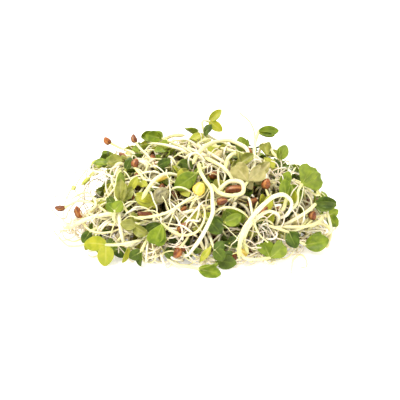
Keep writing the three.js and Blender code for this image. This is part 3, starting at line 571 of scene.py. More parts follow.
def wander(rng, start, heading, length, turn, jitter, limit, lowest):
    """A wandering line that stays below a level of the heap and above the surface below."""
    length, turn = drawn(rng, length), drawn(rng, turn)
    points = [np.array(start, float)]
    axis = random_direction(rng)
    heading = unit(np.array(heading, float))
    for _ in range(int(length / FILLER_STEP)):
        axis = unit(axis + 0.25 * rng.normal(size=3))
        heading = unit(turned(heading, axis, turn * FILLER_STEP) + jitter * rng.normal(size=3))
        p = points[-1]
        level = level_of(p)
        if level > limit:
            heading = unit(heading - outward(p) * min(1, 3 * (level - limit) + 0.25))
        if p[2] < lowest + 1:
            heading = unit(heading + VERTICAL * 0.35)
        p = p + heading * FILLER_STEP
        p[2] = max(p[2], lowest)
        points.append(p)
    return np.array(points)


def near_surface(rng, low, high, reach=0.98, turns=ALL_ROUND):
    """A random place between two levels of the heap. reach is how far out to its two ends it may be."""
    while True:
        place_at = on_dome(rng.uniform(*turns), rng.uniform(0.02, 0.98))
        if abs(place_at[0]) < reach:
            return place_at * HALF_SIZES * rng.uniform(low, high)


# The heap's outline as the photograph shows it: mm across, and the most mm up in the picture
OUTLINE_ACROSS = (-60, -50, -44, -38, -34, -32, -22, 21, 31, 40, 48, 56)
OUTLINE_UP = (1, 2, 5, 10, 15, 25, 33, 33, 23, 17, 11, 4)
# The share of a loose line that may lie outside it, and how much thinner a stem of the back gets there
MOST_OUTSIDE, MOST_SLIMMED = 0.12, 0.66


def past_outline(line):
    """How far each point of a line lies above that outline in the picture."""
    return line @ UP - np.interp(line @ RIGHT, OUTLINE_ACROSS, OUTLINE_UP)


def inside_outline(line):
    """Whether nearly all of a line is inside the heap's outline in the photograph."""
    return np.mean(past_outline(line) > 0) < MOST_OUTSIDE


def slimness(line):
    """1 inside that outline, and less outside it, where the photograph shows thin pale roots alone."""
    return 1 - MOST_SLIMMED * np.clip((past_outline(line) + 1.5) / 3.5, 0, 1)


def tangent(out, rng):
    """A random direction along the heap's surface."""
    return level_along(out, rng.uniform(0, 2 * math.pi))


def filler_stems(rng, count):
    """Stems all through the heap, one in four with a bud."""
    for k in range(count):
        radius = rng.uniform(0.42, 0.85)
        start = near_surface(rng, 0.3, 0.95)
        line = wander(rng, start, random_direction(rng), (30, 60), (0.03, 0.12), 0.05, 0.92, radius)
        yield {"head": "bud" if k % 4 == 0 else "tip", "radius": radius, "points": line}


def fine_stems(rng, count, radii, turn, limit):
    """Thin white stems that wind over the surface."""
    for _ in range(count):
        radius = rng.uniform(*radii)
        start = near_surface(rng, 0.9, 1.04, reach=0.94)
        heading = tangent(outward(start), rng)
        line = wander(rng, start, heading, (20, 46), (0.04, turn), 0.06, limit, radius)
        yield {"head": "tip", "radius": radius, "points": line}


def filler_roots(rng, count, low, high, limit, shades):
    """Thin roots between two levels of the heap."""
    for _ in range(count):
        start, radius = near_surface(rng, low, high), rng.uniform(0.14, 0.3)
        line = wander(rng, start, random_direction(rng), (18, 45), (0.05, 0.3), 0.12, limit, radius)
        yield {"head": "root", "radius": radius, "points": line, "shade": rng.uniform(*shades)}


def stray_roots(rng, count):
    """Thin roots that stand out of the heap's left end and its rim."""
    for k in range(count):
        azimuth = math.pi + rng.normal() * 0.6 if k % 3 else rng.uniform(0, 2 * math.pi)
        start = on_dome(azimuth, rng.uniform(0.03, 0.6)) * HALF_SIZES * 0.85
        radius = rng.uniform(0.17, 0.32)
        heading = outward(start) + 0.6 * tangent(outward(start), rng)
        line = wander(rng, start, heading, (16, 34), (0.08, 0.26), 0.1, 1.06, radius)
        yield {"head": "root", "radius": radius, "points": line, "shade": rng.uniform(0, 0.3)}


def loose_pair(tone, radius, line, leaves):
    pair = {"head": "pair", "tone": tone, "shape": "oval", "leaves": leaves}
    return {**pair, "radius": radius, "points": line}


def filler_pairs(rng, count, tones, low, high, sizes, reach, turns=ALL_ROUND):
    """Pairs of seed leaves that face outwards, each on a stem that runs into the heap."""
    for k in range(count):
        start = near_surface(rng, low, high, reach=reach, turns=turns)
        out = outward(start)
        heading = tangent(out, rng) - out * rng.uniform(0.3, 0.9)
        line = wander(rng, start, heading, (16, 34), 0.07, 0.05, 0.9, 0.6)
        turn = rng.uniform(0, 2 * math.pi)
        leaves = []
        for side in (0, 1):
            along = level_along(out, turn + side * rng.uniform(1.4, 2.9))
            along = unit(along + out * rng.uniform(0.0, 0.6))
            size = rng.uniform(*sizes)
            face = turned(out, along, rng.uniform(-0.8, 0.8))
            leaf = {"length": size, "width": size * rng.uniform(0.52, 0.78), **leaf_axes(along, face)}
            leaves.append(spread(leaf, line, SPREAD_LEAF))
        radius = rng.uniform(0.45, 0.6)
        yield loose_pair(tones[k % len(tones)], radius, line, leaves)


def filler_seeds(rng, count, tone, low, high, lengths, widths, turns=ALL_ROUND):
    """Seed coats, lentils or beans between two levels of the heap, each on a stem or root."""
    for _ in range(count):
        start = near_surface(rng, low, high, turns=turns)
        out = outward(start)
        line = wander(rng, start, tangent(out, rng) - out * 0.6, (12, 28), 0.08, 0.08, 0.9, 1.6)
        size = {"length": rng.uniform(*lengths), "width": rng.uniform(*widths)}
        coat = {**size, **leaf_axes(line[0] - line[1], out)}
        coat["along"] = unit(coat["along"])
        yield {"head": "coat", "tone": tone, "radius": LOOSE_RADIUS, "points": line, "coat": coat}


# The photograph's pixel at the origin, and the size of a pixel
PHOTO_MIDDLE, MM_PER_PIXEL = (194, 222), 0.4
LOOSE_RADIUS = 0.5
SEED_SINK = 1.0  # how much deeper a seed sits than its row says
TUFT_REACH = 1.6

# Things that the photograph shows in the front, by the pixel where they join their stem: across, down, mm out
# of the heap's surface, the direction in degrees, the length and the width in mm
SPOTTED_SEEDS = [
    ("kernel", 156, 175, 0.8, 20, 4.4, 2.0),
    ("coat", 133, 171, 0, -60, 3.6, 2.6),
    ("coat", 132, 190, 0.8, 80, 3.2, 2.4),
    ("coat", 159, 183, -0.5, 100, 4.6, 3.4),
    ("coat", 150, 208, 0.2, 170, 6.0, 2.8),
    ("coat", 208, 172, -0.5, 10, 3.8, 2.8),
    ("coat", 177, 225, 0.5, 40, 5.0, 2.8),
    ("coat", 172, 246, 0.5, -10, 5.0, 3.0),
    ("coat", 224, 187.5, 0.6, 4, 8.0, 3.0),
    ("coat", 246, 193, -0.5, 30, 4.4, 2.8),
    ("coat", 261, 214, 0.2, 60, 4.8, 2.6),
    ("coat", 231, 254, 0.8, 75, 4.4, 3.0),
    ("coat", 283, 205, 0.2, 10, 3.6, 2.4),
    ("kernel", 244, 246, 0.6, -20, 3.6, 2.8),
    ("lentil", 154, 192, 1.2, 40, 6.4, 5.6),
    ("lentil", 166, 218, -0.5, -20, 5.6, 4.8),
    ("bean", 221, 156, 0.4, 60, 5.4, 3.8),
    ("bean", 295, 218, 0.4, 10, 5.6, 4.4),
    ("bean", 187, 220, -1.6, 20, 5.6, 4.0),
    ("bean", 152, 246, -0.8, 60, 4.4, 3.2),
]
SPOTTED_LEAVES = [
    ("dark", 175, 159, 0.5, -15, 6.5, 4.0),
    ("dark", 123, 167, 0.8, 60, 5.5, 3.4),
    ("dark", 108, 195, 1.0, -60, 5.0, 3.6),
    ("dark", 94, 226, 1.0, 10, 6.0, 3.2),
    ("lime", 87, 234, 1.2, -100, 4.6, 3.2),
    ("lime", 208, 243, 1.5, -125, 7.0, 2.8),
    ("lime", 132, 190, 1.5, 60, 7.0, 3.0),
    ("hull", 238, 172, 1.0, -60, 8.0, 4.4),
    ("hull", 250, 176, 0.6, 50, 9.0, 5.0),
    ("olive", 243, 160, 0.6, 35, 6.5, 4.2),
    ("green", 152, 135, 1.0, 200, 6.0, 4.6),
    ("lime", 128, 246, 0.8, -110, 6.5, 2.6),
    ("green", 224, 216, 0.6, 20, 7.0, 5.0),
    ("green", 282, 186, 1.0, 80, 7.0, 4.6),
    ("lime", 214, 214, 1.2, 160, 5.6, 3.6),
    ("lime", 290, 200, 0.4, 90, 7.0, 4.0),
    ("dark", 158, 162, 0.4, 20, 6.0, 3.6),
    ("dark", 165, 247, 0.6, -30, 5.0, 3.4),
    ("green", 117, 187, 1.0, 88, 7.5, 3.6),
]

# Tufts of pale roots by the pixel at their middle, and how many roots each has
SPOTTED_TUFTS = [
    (191, 137, 14),
    (203, 166, 8),
    (276, 172, 14),
    (119, 149, 9),
    (82, 224, 12),
    (262, 222, 10),
    (160, 236, 10),
    (112, 236, 8),
    (202, 250, 10),
    (254, 246, 8),
    (300, 240, 8),
    (318, 236, 8),
]


def spot(u, v, out, aside=(0, 0)):
    """The place on the heap that a pixel of the photograph shows, out of its surface and aside by some mm."""
    across = (u - PHOTO_MIDDLE[0]) * MM_PER_PIXEL + aside[0]
    return seen((across, (PHOTO_MIDDLE[1] - v) * MM_PER_PIXEL + aside[1], out))


def tufts(rng):
    """Curly roots that lie on the heap in loose tufts."""
    for u, v, count in SPOTTED_TUFTS:
        for _ in range(count):
            aside = rng.normal(size=2) * TUFT_REACH
            start = spot(u, v, rng.uniform(0, TUFT_REACH), aside)
            heading = tangent(outward(start), rng) + 0.3 * outward(start)
            radius = rng.uniform(0.16, 0.3)
            line = wander(rng, start, heading, (7, 17), (0.1, 0.35), 0.08, 1.06, radius)
            yield {"head": "root", "radius": radius, "points": line, "shade": rng.uniform(0, 0.3)}


def spotted(rng):
    """The seeds and leaves that are placed one by one, each with a stem or root that runs into the heap."""
    for tone, u, v, out, angle, length, width in SPOTTED_SEEDS:
        start = spot(u, v, out - SEED_SINK)
        line = wander(rng, start, -outward(start) + 0.5 * random_direction(rng), 16, 0.08, 0.06, 0.9, 0.5)
        coat = front_leaf(angle, length, width)
        yield {"head": "coat", "tone": tone, "radius": LOOSE_RADIUS, "points": line, "coat": coat}
    for tone, u, v, out, angle, length, width in SPOTTED_LEAVES:
        start = spot(u, v, out)
        away = -front_leaf(angle, length, width)["along"]
        line = wander(rng, start, away - 1.2 * outward(start), 22, 0.06, 0.05, 0.9, 0.6)
        leaves = [spread(front_leaf(angle, length, width, 20 * rng.normal(), 8), line, SPREAD_LEAF)]
        if rng.uniform() < 0.6:
            second = front_leaf(angle + rng.choice((-1, 1)) * 70, length * 0.85, width * 0.8, 50, -10)
            leaves.append(spread(second, line, SPREAD_LEAF))
        yield loose_pair(tone, LOOSE_RADIUS, line, leaves)


INNER_TONES = ("dark", "olive", "green", "dark", "lime")
OUTER_TONES = ("green", "dark", "lime", "green", "olive")
BACK_TONES = ("green", "dark", "green", "lime", "olive", "dark")


def fillers():
    """The loose sprouts between those of the frame, before they are pushed clear."""
    rng = np.random.default_rng(FILLER_SEED)
    # How many of each, their thickness or their levels in the heap, and their sizes in mm
    made = [*filler_stems(rng, 260)]
    made += fine_stems(rng, 210, (0.24, 0.46), 0.16, 1.0)
    made += fine_stems(rng, 210, (0.17, 0.3), 0.3, 1.04)
    made += filler_roots(rng, 140, 0.3, 0.85, 0.85, (0.5, 1))
    made += filler_roots(rng, 90, 0.8, 1.02, 0.98, (0.15, 0.9))
    made += filler_pairs(rng, 130, INNER_TONES, 0.7, 0.93, (4.5, 8), 0.9)
    made += filler_pairs(rng, 46, OUTER_TONES, 0.9, 1.0, (4, 7), 0.78)
    made += filler_seeds(rng, 70, "coat", 0.55, 0.95, (3.2, 5.4), (2.0, 3.0))
    made += filler_seeds(rng, 14, "lentil", 0.7, 0.9, (4.4, 5.8), (3.8, 4.6))
    made += filler_seeds(rng, 8, "bean", 0.7, 0.92, (4.4, 5.8), (3.4, 4.4))
    made += filler_pairs(rng, 64, BACK_TONES, 0.94, 1.02, (5, 8), 0.98, BACK_HALF)
    made += filler_seeds(rng, 18, "coat", 0.92, 1.0, (3.4, 5.2), (2.2, 3.0), BACK_HALF)
    made = [sprout for sprout in made if inside_outline(sprout["points"])]
    return [*spotted(rng), *tufts(rng), *stray_roots(rng, 40), *made]


CUP_SEED = 640
# How high a leaf's rim stands, as a share of its half width, and how much higher that of a husk
CUPS = (0.1, 0.2, 0.3, 0.55)
HUSK_FOLD = 0.4
CURL = 0.1  # how far a leaf bends along its length


def cup_leaves(every_sprout):
    """Gives each seed leaf its own cup. Olive leaves and husks are folded more."""
    rng = np.random.default_rng(CUP_SEED)
    for sprout in every_sprout:
        for leaf in sprout.get("leaves", []):
            leaf["cup"] = rng.choice(CUPS) + HUSK_FOLD * (sprout["tone"] in ("olive", "hull"))


def leaf_rise(leaf, share, side):
    """How far a blade's middle layer stands off its plane. side is -1 to 1 across the leaf's width."""
    return leaf["cup"] * leaf["width"] / 2 * side**2 + CURL * leaf["length"] * (share - 1.6 * share**2)


OUTER_LEVEL = 0.88  # the level of the heap above which a thread through a leaf would be seen
LEAFLESS = -44  # the heap's left end, where the photograph shows roots alone


def pierced(sprout, starts, ends):
    """Which of the straight links between two rows of places go through a leaf of this sprout."""
    hit = np.zeros(len(starts), bool)
    for leaf in sprout["leaves"]:
        heights, inside = [], True
        for places in (starts, ends):
            local = places - sprout["points"][0]
            share = local @ leaf["along"] / leaf["length"]
            side = local @ leaf["across"] / (leaf["width"] / 2)
            heights.append(local @ leaf["facing"] - leaf_rise(leaf, share, side))
            inside = inside & (((share - 0.55) / 0.5) ** 2 + side**2 < 1)
        hit |= inside & (heights[0] * heights[1] < 0)
    return hit


def without_strays(fixed, loose):
    """Drops bare stems and roots that go through a leaf near the surface, and leaf pairs at the left end."""
    bare = [k for k, sprout in enumerate(loose) if sprout["head"] in ("tip", "root", "bud")]
    starts = np.vstack([loose[k]["points"][:-1] for k in bare])
    ends = np.vstack([loose[k]["points"][1:] for k in bare])
    owners = np.concatenate([np.full(len(loose[k]["points"]) - 1, k) for k in bare])
    outer = np.linalg.norm(starts / HALF_SIZES, axis=1) > OUTER_LEVEL
    starts, ends, owners = starts[outer], ends[outer], owners[outer]
    pairs = [k for k, sprout in enumerate(loose) if sprout["head"] == "pair"]
    dropped = {k for k in pairs if loose[k]["points"][0][0] < LEAFLESS}
    for sprout in [*fixed, *loose]:
        if sprout["head"] == "pair":
            dropped.update(owners[pierced(sprout, starts, ends)].tolist())
    return [sprout for k, sprout in enumerate(loose) if k not in dropped]


# The beads that keep a leaf clear: how far along it, and how far to each side as a share of its half width
LEAF_BEADS = ((0.2, 0.5), (0.38, 0.8), (0.56, 0.85), (0.74, 0.7), (0.92, 0.35))
LEAF_BEAD, COAT_BEAD = 0.6, 0.42
ON_HEAD = -9  # the order of the beads on a head, which push their own stem but not each other
# The room kept, how far and how often beads are looked for, and how much of each fault a round mends
BEAD_GAP, BEAD_REACH, BEAD_ROUNDS, BEAD_RELIST = 0.05, 2.0, 60, 12
BEAD_PUSH, HEAD_PUSH, BEND_BACK, PULL_BACK = 0.7, 0.5, 0.25, 0.4
HEAD_ROOM = 0.2


def beads_of(sprout):
    """The spheres along a sprout's stem, with their order, and the offsets and sizes of those on its head."""
    stem = [(p, radius_at(sprout, k), k) for k, p in enumerate(sprout["points"])]
    carried = []
    for leaf in sprout.get("leaves", []):
        for share, half in LEAF_BEADS:
            for side in (-half, -half / 3, half / 3, half):
                offset = leaf["along"] * leaf["length"] * share + leaf["across"] * leaf["width"] / 2 * side
                carried.append((offset + leaf["facing"] * leaf_rise(leaf, share, side), LEAF_BEAD))
    if "coat" in sprout:
        coat = sprout["coat"]
        for share in (0.3, 0.7):
            carried.append((coat["along"] * coat["length"] * share, coat["width"] * COAT_BEAD))
    return stem, carried


def gather_beads(fixed, loose):
    """Every bead, the joints between those of a loose stem, and the beads that a head carries."""
    beads, joints, carried_by, offsets = [], [], [], []
    for owner, sprout in enumerate([*fixed, *loose]):
        stem, carried = beads_of(sprout)
        head = sprout["first_bead"] = len(beads)
        free = owner >= len(fixed)
        if not free:
            fine = even(sprout["points"], max(4, int(length_of(sprout["points"]) / FILLER_STEP)))
            shares = np.linspace(0, len(stem) - 1, len(fine))
            stem = [(p, radius_at(sprout, share), k) for k, (p, share) in enumerate(zip(fine, shares))]
        for p, radius, k in stem:
            if free and k:
                joints.append((len(beads) - 1, len(beads)))
            beads.append((p, radius, owner, k, free))
        for offset, radius in carried:
            carried_by.append((len(beads), head))
            offsets.append(offset)
            beads.append((beads[head][0] + offset, radius, owner, ON_HEAD, free))
    return [np.array(row) for row in zip(*beads)], np.array(joints), np.array(carried_by).T, np.array(offsets)


def near_beads(places, radii, owners, orders, free):
    """The pairs of beads that may meet soon. The first of a pair is free."""
    tree = kdtree.KDTree(len(places))
    for k, p in enumerate(places):
        tree.insert(p, k)
    tree.balance()
    near = []
    for k in np.nonzero(free)[0]:
        for _, other, _ in tree.find_range(places[k], radii[k] + BEAD_REACH):
            own = owners[k] == owners[other] and abs(orders[k] - orders[other]) <= 4
            if other != k and not own and not (free[other] and other < k):
                near.append((k, other))
    return np.array(near).T


def part_beads(places, radii, free, near, held, heads):
    """How far each bead is pushed in one round."""
    a, b = near
    apart = places[a] - places[b]
    distance = np.maximum(np.linalg.norm(apart, axis=1), 1e-6)
    depth = np.maximum(radii[a] + radii[b] + BEAD_GAP - distance, 0)
    shares = np.where(free[b], 0.5, 1.0)
    pushes = apart * (depth / distance * BEAD_PUSH * shares)[:, None]
    moves, hits = np.zeros_like(places), np.ones(len(places))
    np.add.at(moves, a, pushes)
    np.add.at(moves, b, -pushes * free[b][:, None])
    np.add.at(hits, a, depth > 0)
    np.add.at(hits, b, (depth > 0) & free[b])
    moves /= np.sqrt(hits)[:, None]
    np.add.at(moves, heads, moves[held] * HEAD_PUSH)
    return moves * free[:, None]


def clear_fillers(fixed, loose):
    """Pushes the loose sprouts off the fixed ones and off each other, a little in each round."""
    (places, radii, owners, orders, free), joints, (held, heads), offsets = gather_beads(fixed, loose)
    lengths = np.linalg.norm(places[joints[:, 1]] - places[joints[:, 0]], axis=1)
    inner = joints[:-1][joints[:-1, 1] == joints[1:, 0]][:, 1]
    bends = places[inner] - (places[inner - 1] + places[inner + 1]) / 2
    for turn in range(BEAD_ROUNDS):
        if turn % BEAD_RELIST == 0:
            near = near_beads(places, radii, owners, orders, free)
        places = places + part_beads(places, radii, free, near, held, heads)
        target = (places[inner - 1] + places[inner + 1]) / 2 + bends
        places[inner] += BEND_BACK * (target - places[inner])
        span = places[joints[:, 1]] - places[joints[:, 0]]
        size = np.linalg.norm(span, axis=1)
        pull = span * ((size - lengths) / np.maximum(size, 1e-6) * PULL_BACK)[:, None]
        np.add.at(places, joints[:, 0], pull)
        np.add.at(places, joints[:, 1], -pull)
        places[:, 2] = np.where(free, np.maximum(places[:, 2], radii), places[:, 2])
        places[held] = places[heads] + offsets
        lift = np.zeros(len(places))
        low = np.maximum(radii[held] + HEAD_ROOM - places[held, 2], 0) * free[heads]
        np.maximum.at(lift, heads, low)
        places[:, 2] += lift
        places[held] = places[heads] + offsets
    for sprout in loose:
        first = sprout["first_bead"]
        sprout["points"] = places[first : first + len(sprout["points"])]


# Meshes
class Skin:
    """Collects closed forms, given in millimetres, into one mesh object."""

    def __init__(self):
        self.corners, self.faces, self.grow, self.mark, self.count = [], [], [], [], 0

    def add(self, rings, poles, grow, mark=(0, 0, 0), inside_out=False):
        """A closed form of rings, with a pole at each end. grow and mark hold three values each for the
        paint: as one number, as a column for the rings or as a row for the places round a ring."""
        size = rings.shape[:2]
        for kept, values in ((self.grow, grow), (self.mark, mark)):
            flat = np.stack([np.broadcast_to(value, size).ravel() for value in values], 1)
            kept.append(np.vstack([flat, flat[0], flat[-1]]))
        faces = ring_faces(*size)
        if inside_out:
            faces = [face[::-1] for face in faces]
        self.faces += [tuple(k + self.count for k in face) for face in faces]
        self.corners.append(np.vstack([rings.reshape(-1, 3), poles]))
        self.count += len(self.corners[-1])

    def build(self, name, material):
        """The mesh object, kept just above the surface that the heap lies on."""
        corners = np.vstack(self.corners)
        corners[:, 2] = np.maximum(corners[:, 2], 0.02)
        mesh = bpy.data.meshes.new(name)
        mesh.from_pydata((corners * MM).tolist(), [], self.faces)
        for label, rows in (("grow", self.grow), ("mark", self.mark)):
            layer = mesh.attributes.new(label, "FLOAT_VECTOR", "POINT")
            layer.data.foreach_set("vector", np.vstack(rows).astype(np.float32).ravel())
        mesh.polygons.foreach_set("use_smooth", [True] * len(mesh.polygons))
        mesh.materials.append(material)
        piece = bpy.data.objects.new(name, mesh)
        bpy.context.scene.collection.objects.link(piece)
        return piece


def ring_faces(rings, sides):
    """Quads between the rings of a tube, and a fan to the pole at each end."""
    low = np.arange(rings - 1)[:, None] * sides + np.arange(sides)[None, :]
    ahead = np.arange(rings - 1)[:, None] * sides + (np.arange(sides)[None, :] + 1) % sides
    quads = np.stack([low, ahead, ahead + sides, low + sides], -1).reshape(-1, 4).tolist()
    first, last, far = rings * sides, rings * sides + 1, (rings - 1) * sides
    for s in range(sides):
        n = (s + 1) % sides
        quads += [(first, n, s), (last, far + s, far + n)]
    return quads


END_ROUNDS = (0.6, 1.15)  # where the two rings of a rounded end lie, as angles


def add_tube(skin, points, radii, sides, share, rand, bud=None, thin=0.0, groove=None, oval=1.0):
    """A round-ended tube. share runs from 0 at the leaves to 1 at the root, and bud is 1 on a closed bud."""
    points, radii, share = np.asarray(points, float), np.asarray(radii, float), np.asarray(share, float)
    bud = np.zeros(len(points)) if bud is None else bud
    groove = np.zeros(len(points)) if groove is None else groove
    start, end = unit(points[0] - points[1]), unit(points[-1] - points[-2])
    poles = [points[0] + start * radii[0], points[-1] + end * radii[-1]]
    before = [points[0] + start * radii[0] * math.sin(a) for a in reversed(END_ROUNDS)]
    after = [points[-1] + end * radii[-1] * math.sin(a) for a in END_ROUNDS]
    points = np.vstack([before, points, after])
    first = [radii[0] * math.cos(a) for a in reversed(END_ROUNDS)]
    radii = np.concatenate([first, radii, [radii[-1] * math.cos(a) for a in END_ROUNDS]])
    share, bud, groove = (np.concatenate([[x[0]] * 2, x, [x[-1]] * 2]) for x in (share, bud, groove))
    tangents = np.gradient(points, axis=0)
    tangents /= np.maximum(np.linalg.norm(tangents, axis=1), 1e-9)[:, None]
    side = unit(np.cross(tangents[0], (0.3, 0.5, 0.8)))
    sides_at = []
    for tangent in tangents:
        side = unit(side - tangent * (side @ tangent))
        sides_at.append(side)
    sides_at = np.array(sides_at)
    over = np.cross(tangents, sides_at)
    angle = np.arange(sides) / sides * 2 * math.pi
    scale = radii[:, None] * (1 - groove[:, None] * np.exp(-((np.sin(angle) / 0.35) ** 2))[None, :])
    rings = (
        points[:, None, :]
        + sides_at[:, None, :] * (scale * np.cos(angle) * oval)[:, :, None]
        + over[:, None, :] * (scale * np.sin(angle) / oval)[:, :, None]
    )
    grow = (share[:, None], rand, runs(points)[:, None])
    skin.add(rings, poles, grow, (bud[:, None], 0, thin))


# A closed bud's radius at these places from its tip
BUD_AT, BUD_RADII = (0, 0.8, 2.2, 3.6, 5.2), (0.35, 0.8, 1.15, 1.0, 0.8)
BUD_REACH = 5.2
THICK = 0.4  # stems above this radius are drawn with more sides


def add_stem(skin, sprout, rng):
    """A stem from its head to its root, a little uneven in thickness and in line."""
    head, in_frame, by_hand = sprout["head"], "mat" in sprout, sprout.get("weight", 1) < 1
    length = length_of(sprout["points"])
    count = max(6, int(length / 0.8))
    points = even(sprout["points"], count)
    shares = np.linspace(0, 1, count + 1)
    radii = np.array([radius_at(sprout, share * (len(sprout["points"]) - 1)) for share in shares])
    run = shares * length
    thick = sprout["radius"] > THICK
    if in_frame:
        radii = radii * rng.uniform(0.86 if by_hand and head in ("bud", "tip") else 0.7, 0.98)
    phase, pace = rng.uniform(0, 6.28, 3), rng.uniform(3.2, 5.5)
    radii = radii * (1 + 0.06 * np.sin(run / pace * 2 + phase[0]) + 0.04 * np.sin(run / 1.3 + phase[1]))
    shade = sprout.get("shade", rng.uniform())
    thin = 1.0 if head == "root" else 0.0
    if sprout.get("weight") == 1:
        slim = slimness(points)
        radii = radii * slim
        thin = 1.4 * (1 - slim.mean())
        shade = shade * slim.mean() ** 2
    bud, groove = np.zeros(count + 1), np.zeros(count + 1)
    if head == "bud":
        fullness = 0.8 if by_hand else 1.0
        swell = np.interp(run, BUD_AT, BUD_RADII) * fullness * min(1, sprout["radius"] / 0.75)
        on_bud = np.clip((BUD_REACH - run) / 1.5, 0, 1)
        radii = swell * on_bud + radii * (1 - on_bud)
        bud = np.clip((BUD_REACH + 1.5 - run) / 2.5, 0, 1)
        groove = 0.28 * np.clip((BUD_REACH - run) / 1.2, 0, 1) * np.clip(run / 0.8, 0, 1)
    if head == "root":
        radii = radii * np.interp(shares, [0, 0.5, 1], [0.7, 1, 0.45])
    wave = 0.12 if thick else 0.2
    for axis in range(3):
        points[:, axis] += wave * np.sin(run / pace + phase[axis]) * np.sin(shares * math.pi)
    points[:, 2] = np.maximum(points[:, 2], radii * 0.8)
    share = shares
    if head == "root":
        share = 0.4 + 0.6 * shares
    elif head == "tip" or by_hand:
        share, bud = 0.14 + 0.5 * shares, bud * 0.4
    sides = 12 if head == "bud" else 9 if thick else 6
    add_tube(skin, points, radii, sides, share, shade, bud, thin, groove, 1.05 if thick else 1.0)


def half_widths(shape, shares):
    """A blade's half width along it, as a share of its greatest."""
    if shape == "oval":
        return np.sin(math.pi * np.clip(shares, 0.01, 0.995) ** 1.05) ** 0.6
    fine = np.linspace(0, 1, 101)
    rough = np.interp(fine, [0, 0.08, 0.3, 0.6, 0.84, 0.95, 1], [0.1, 0.14, 0.56, 1, 0.98, 0.72, 0.42])
    smooth = np.convolve(np.pad(rough, 5, mode="edge"), np.ones(11) / 11, mode="valid")
    return np.interp(shares, fine, smooth)


BLADE_HALF_THICK = 0.3
NOTCH = 0.16  # how deep a heart's notch is, as a share of its length


def add_blade(skin, collar, leaf, shape, rng, flesh=1.0):
    """A seed leaf: cupped, grooved along its midrib, a little wavy at its rim."""
    rows, columns = 15, 11
    s = 0.5 - 0.5 * np.cos(np.linspace(0.02, 1, rows) * math.pi)
    v = np.sin(np.linspace(-1, 1, columns) * math.pi / 2)
    length, width = leaf["length"], leaf["width"]
    half = half_widths(shape, s) * width / 2
    cup, curl, wave = leaf["cup"], rng.uniform(0.8, 1.2), rng.uniform(0.05, 0.2)
    if flesh > 1:
        wave += 0.3
    phase = rng.uniform(0, 6.28, 2)
    rise = CURL * length * curl * (s - 1.6 * s**2)
    top = cup * half[:, None] * v**2 + rise[:, None]
    top = top + wave * np.sin(s[:, None] * 7 + phase[0] + v * 2) * v**2
    groove = 0.12 * np.exp(-((v * half[:, None] / 0.3) ** 2)) * np.sin(s * math.pi)[:, None]
    taper = np.interp(s, [0, 0.2, 0.8, 1], [1.3, 1, 0.8, 0.5])[:, None]
    thick = flesh * BLADE_HALF_THICK * np.sqrt(np.maximum(0, 1 - v**2)) * taper
    notch = NOTCH if shape == "heart" else 0.0
    back = notch * length * np.clip((s - 0.5) / 0.5, 0, 1)[:, None] ** 1.5 * (1 - np.abs(v)) ** 1.3
    ahead = s[:, None] * length - back
    skew = 0.06 * length * rng.normal() * (s**2)[:, None]

    def layer(way, cols):
        z = top[:, cols] + way * thick[:, cols] - (groove[:, cols] if way > 0 else -0.5 * groove[:, cols])
        across = (half[:, None] * v)[:, cols] + skew
        return (
            collar
            + leaf["along"] * (ahead[:, cols] - 0.4)[:, :, None]
            + leaf["across"] * across[:, :, None]
            + leaf["facing"] * z[:, :, None]
        )

    over, under = np.arange(columns), np.arange(columns - 2, 0, -1)
    rings = np.concatenate([layer(1, over), layer(-1, under)], axis=1)
    poles = [rings[0].mean(axis=0), rings[-1].mean(axis=0)]
    v_ring = np.concatenate([v[over], v[under]])
    side_ring = np.concatenate([np.zeros(len(over)), np.ones(len(under))])
    skin.add(rings, poles, (s[:, None], v_ring, rng.uniform()), (side_ring, 0, 0), inside_out=True)


def add_pair(skin, sprout, rng):
    """A pair of seed leaves with their short stalks."""
    collar = sprout["points"][0]
    down = unit(sprout["points"][1] - collar)
    for leaf in sprout["leaves"]:
        add_blade(skin, collar, leaf, sprout["shape"], rng, 1.8 if sprout["tone"] == "olive" else 1.0)
        rise = CURL * leaf["length"]
        line = [
            collar + down * 0.9,
            collar + leaf["along"] * 0.2,
            collar + leaf["along"] * 0.12 * leaf["length"] + leaf["facing"] * 0.05 * rise,
            collar + leaf["along"] * 0.34 * leaf["length"] + leaf["facing"] * 0.1 * rise,
        ]
        radii = np.linspace(sprout["radius"] * 0.72, 0.24, 9)
        add_tube(skin, even(line, 8), radii, 8, np.zeros(9), 0.5)
        skin.grow[-1] = np.zeros_like(skin.corners[-1])


def add_coat(skin, sprout, rng):
    """A seed coat: an uneven, slightly bent egg with a pointed end and a split."""
    coat = sprout["coat"]
    rows, sides = 16, 20
    s = np.linspace(0, math.pi, rows + 2)[1:-1]
    angle = np.arange(sides) / sides * 2 * math.pi
    radius = coat["width"] / 2 * np.sin(s) ** 0.85 * (1 + 0.16 * np.cos(s))
    along = coat["length"] / 2 * (1 - np.cos(s))
    phase = rng.uniform(0, 50, 3)
    bend = 0.1 * coat["length"] * np.sin(s)
    rings = (
        sprout["points"][0]
        + coat["along"] * along[:, None, None]
        + coat["across"] * (radius[:, None] * np.cos(angle) + bend[:, None])[:, :, None]
        + coat["facing"] * (radius[:, None] * np.sin(angle) * 0.86)[:, :, None]
    )
    flat = rings.reshape(-1, 3)
    middle = flat.mean(axis=0)
    rough = np.array([noise.noise(Vector((p * 0.9 + phase).tolist())) for p in flat])
    split = np.exp(-(((np.tile(angle, rows) - 1.2) / 0.22) ** 2)) * np.sin(s).repeat(sides)
    flat = middle + (flat - middle) * (1 + 0.12 * rough - 0.09 * split)[:, None]
    poles = [sprout["points"][0], sprout["points"][0] + coat["along"] * coat["length"]]
    grow = ((s / math.pi)[:, None], rng.uniform(), split.reshape(rows, sides))
    skin.add(flat.reshape(rows, sides, 3), poles, grow)


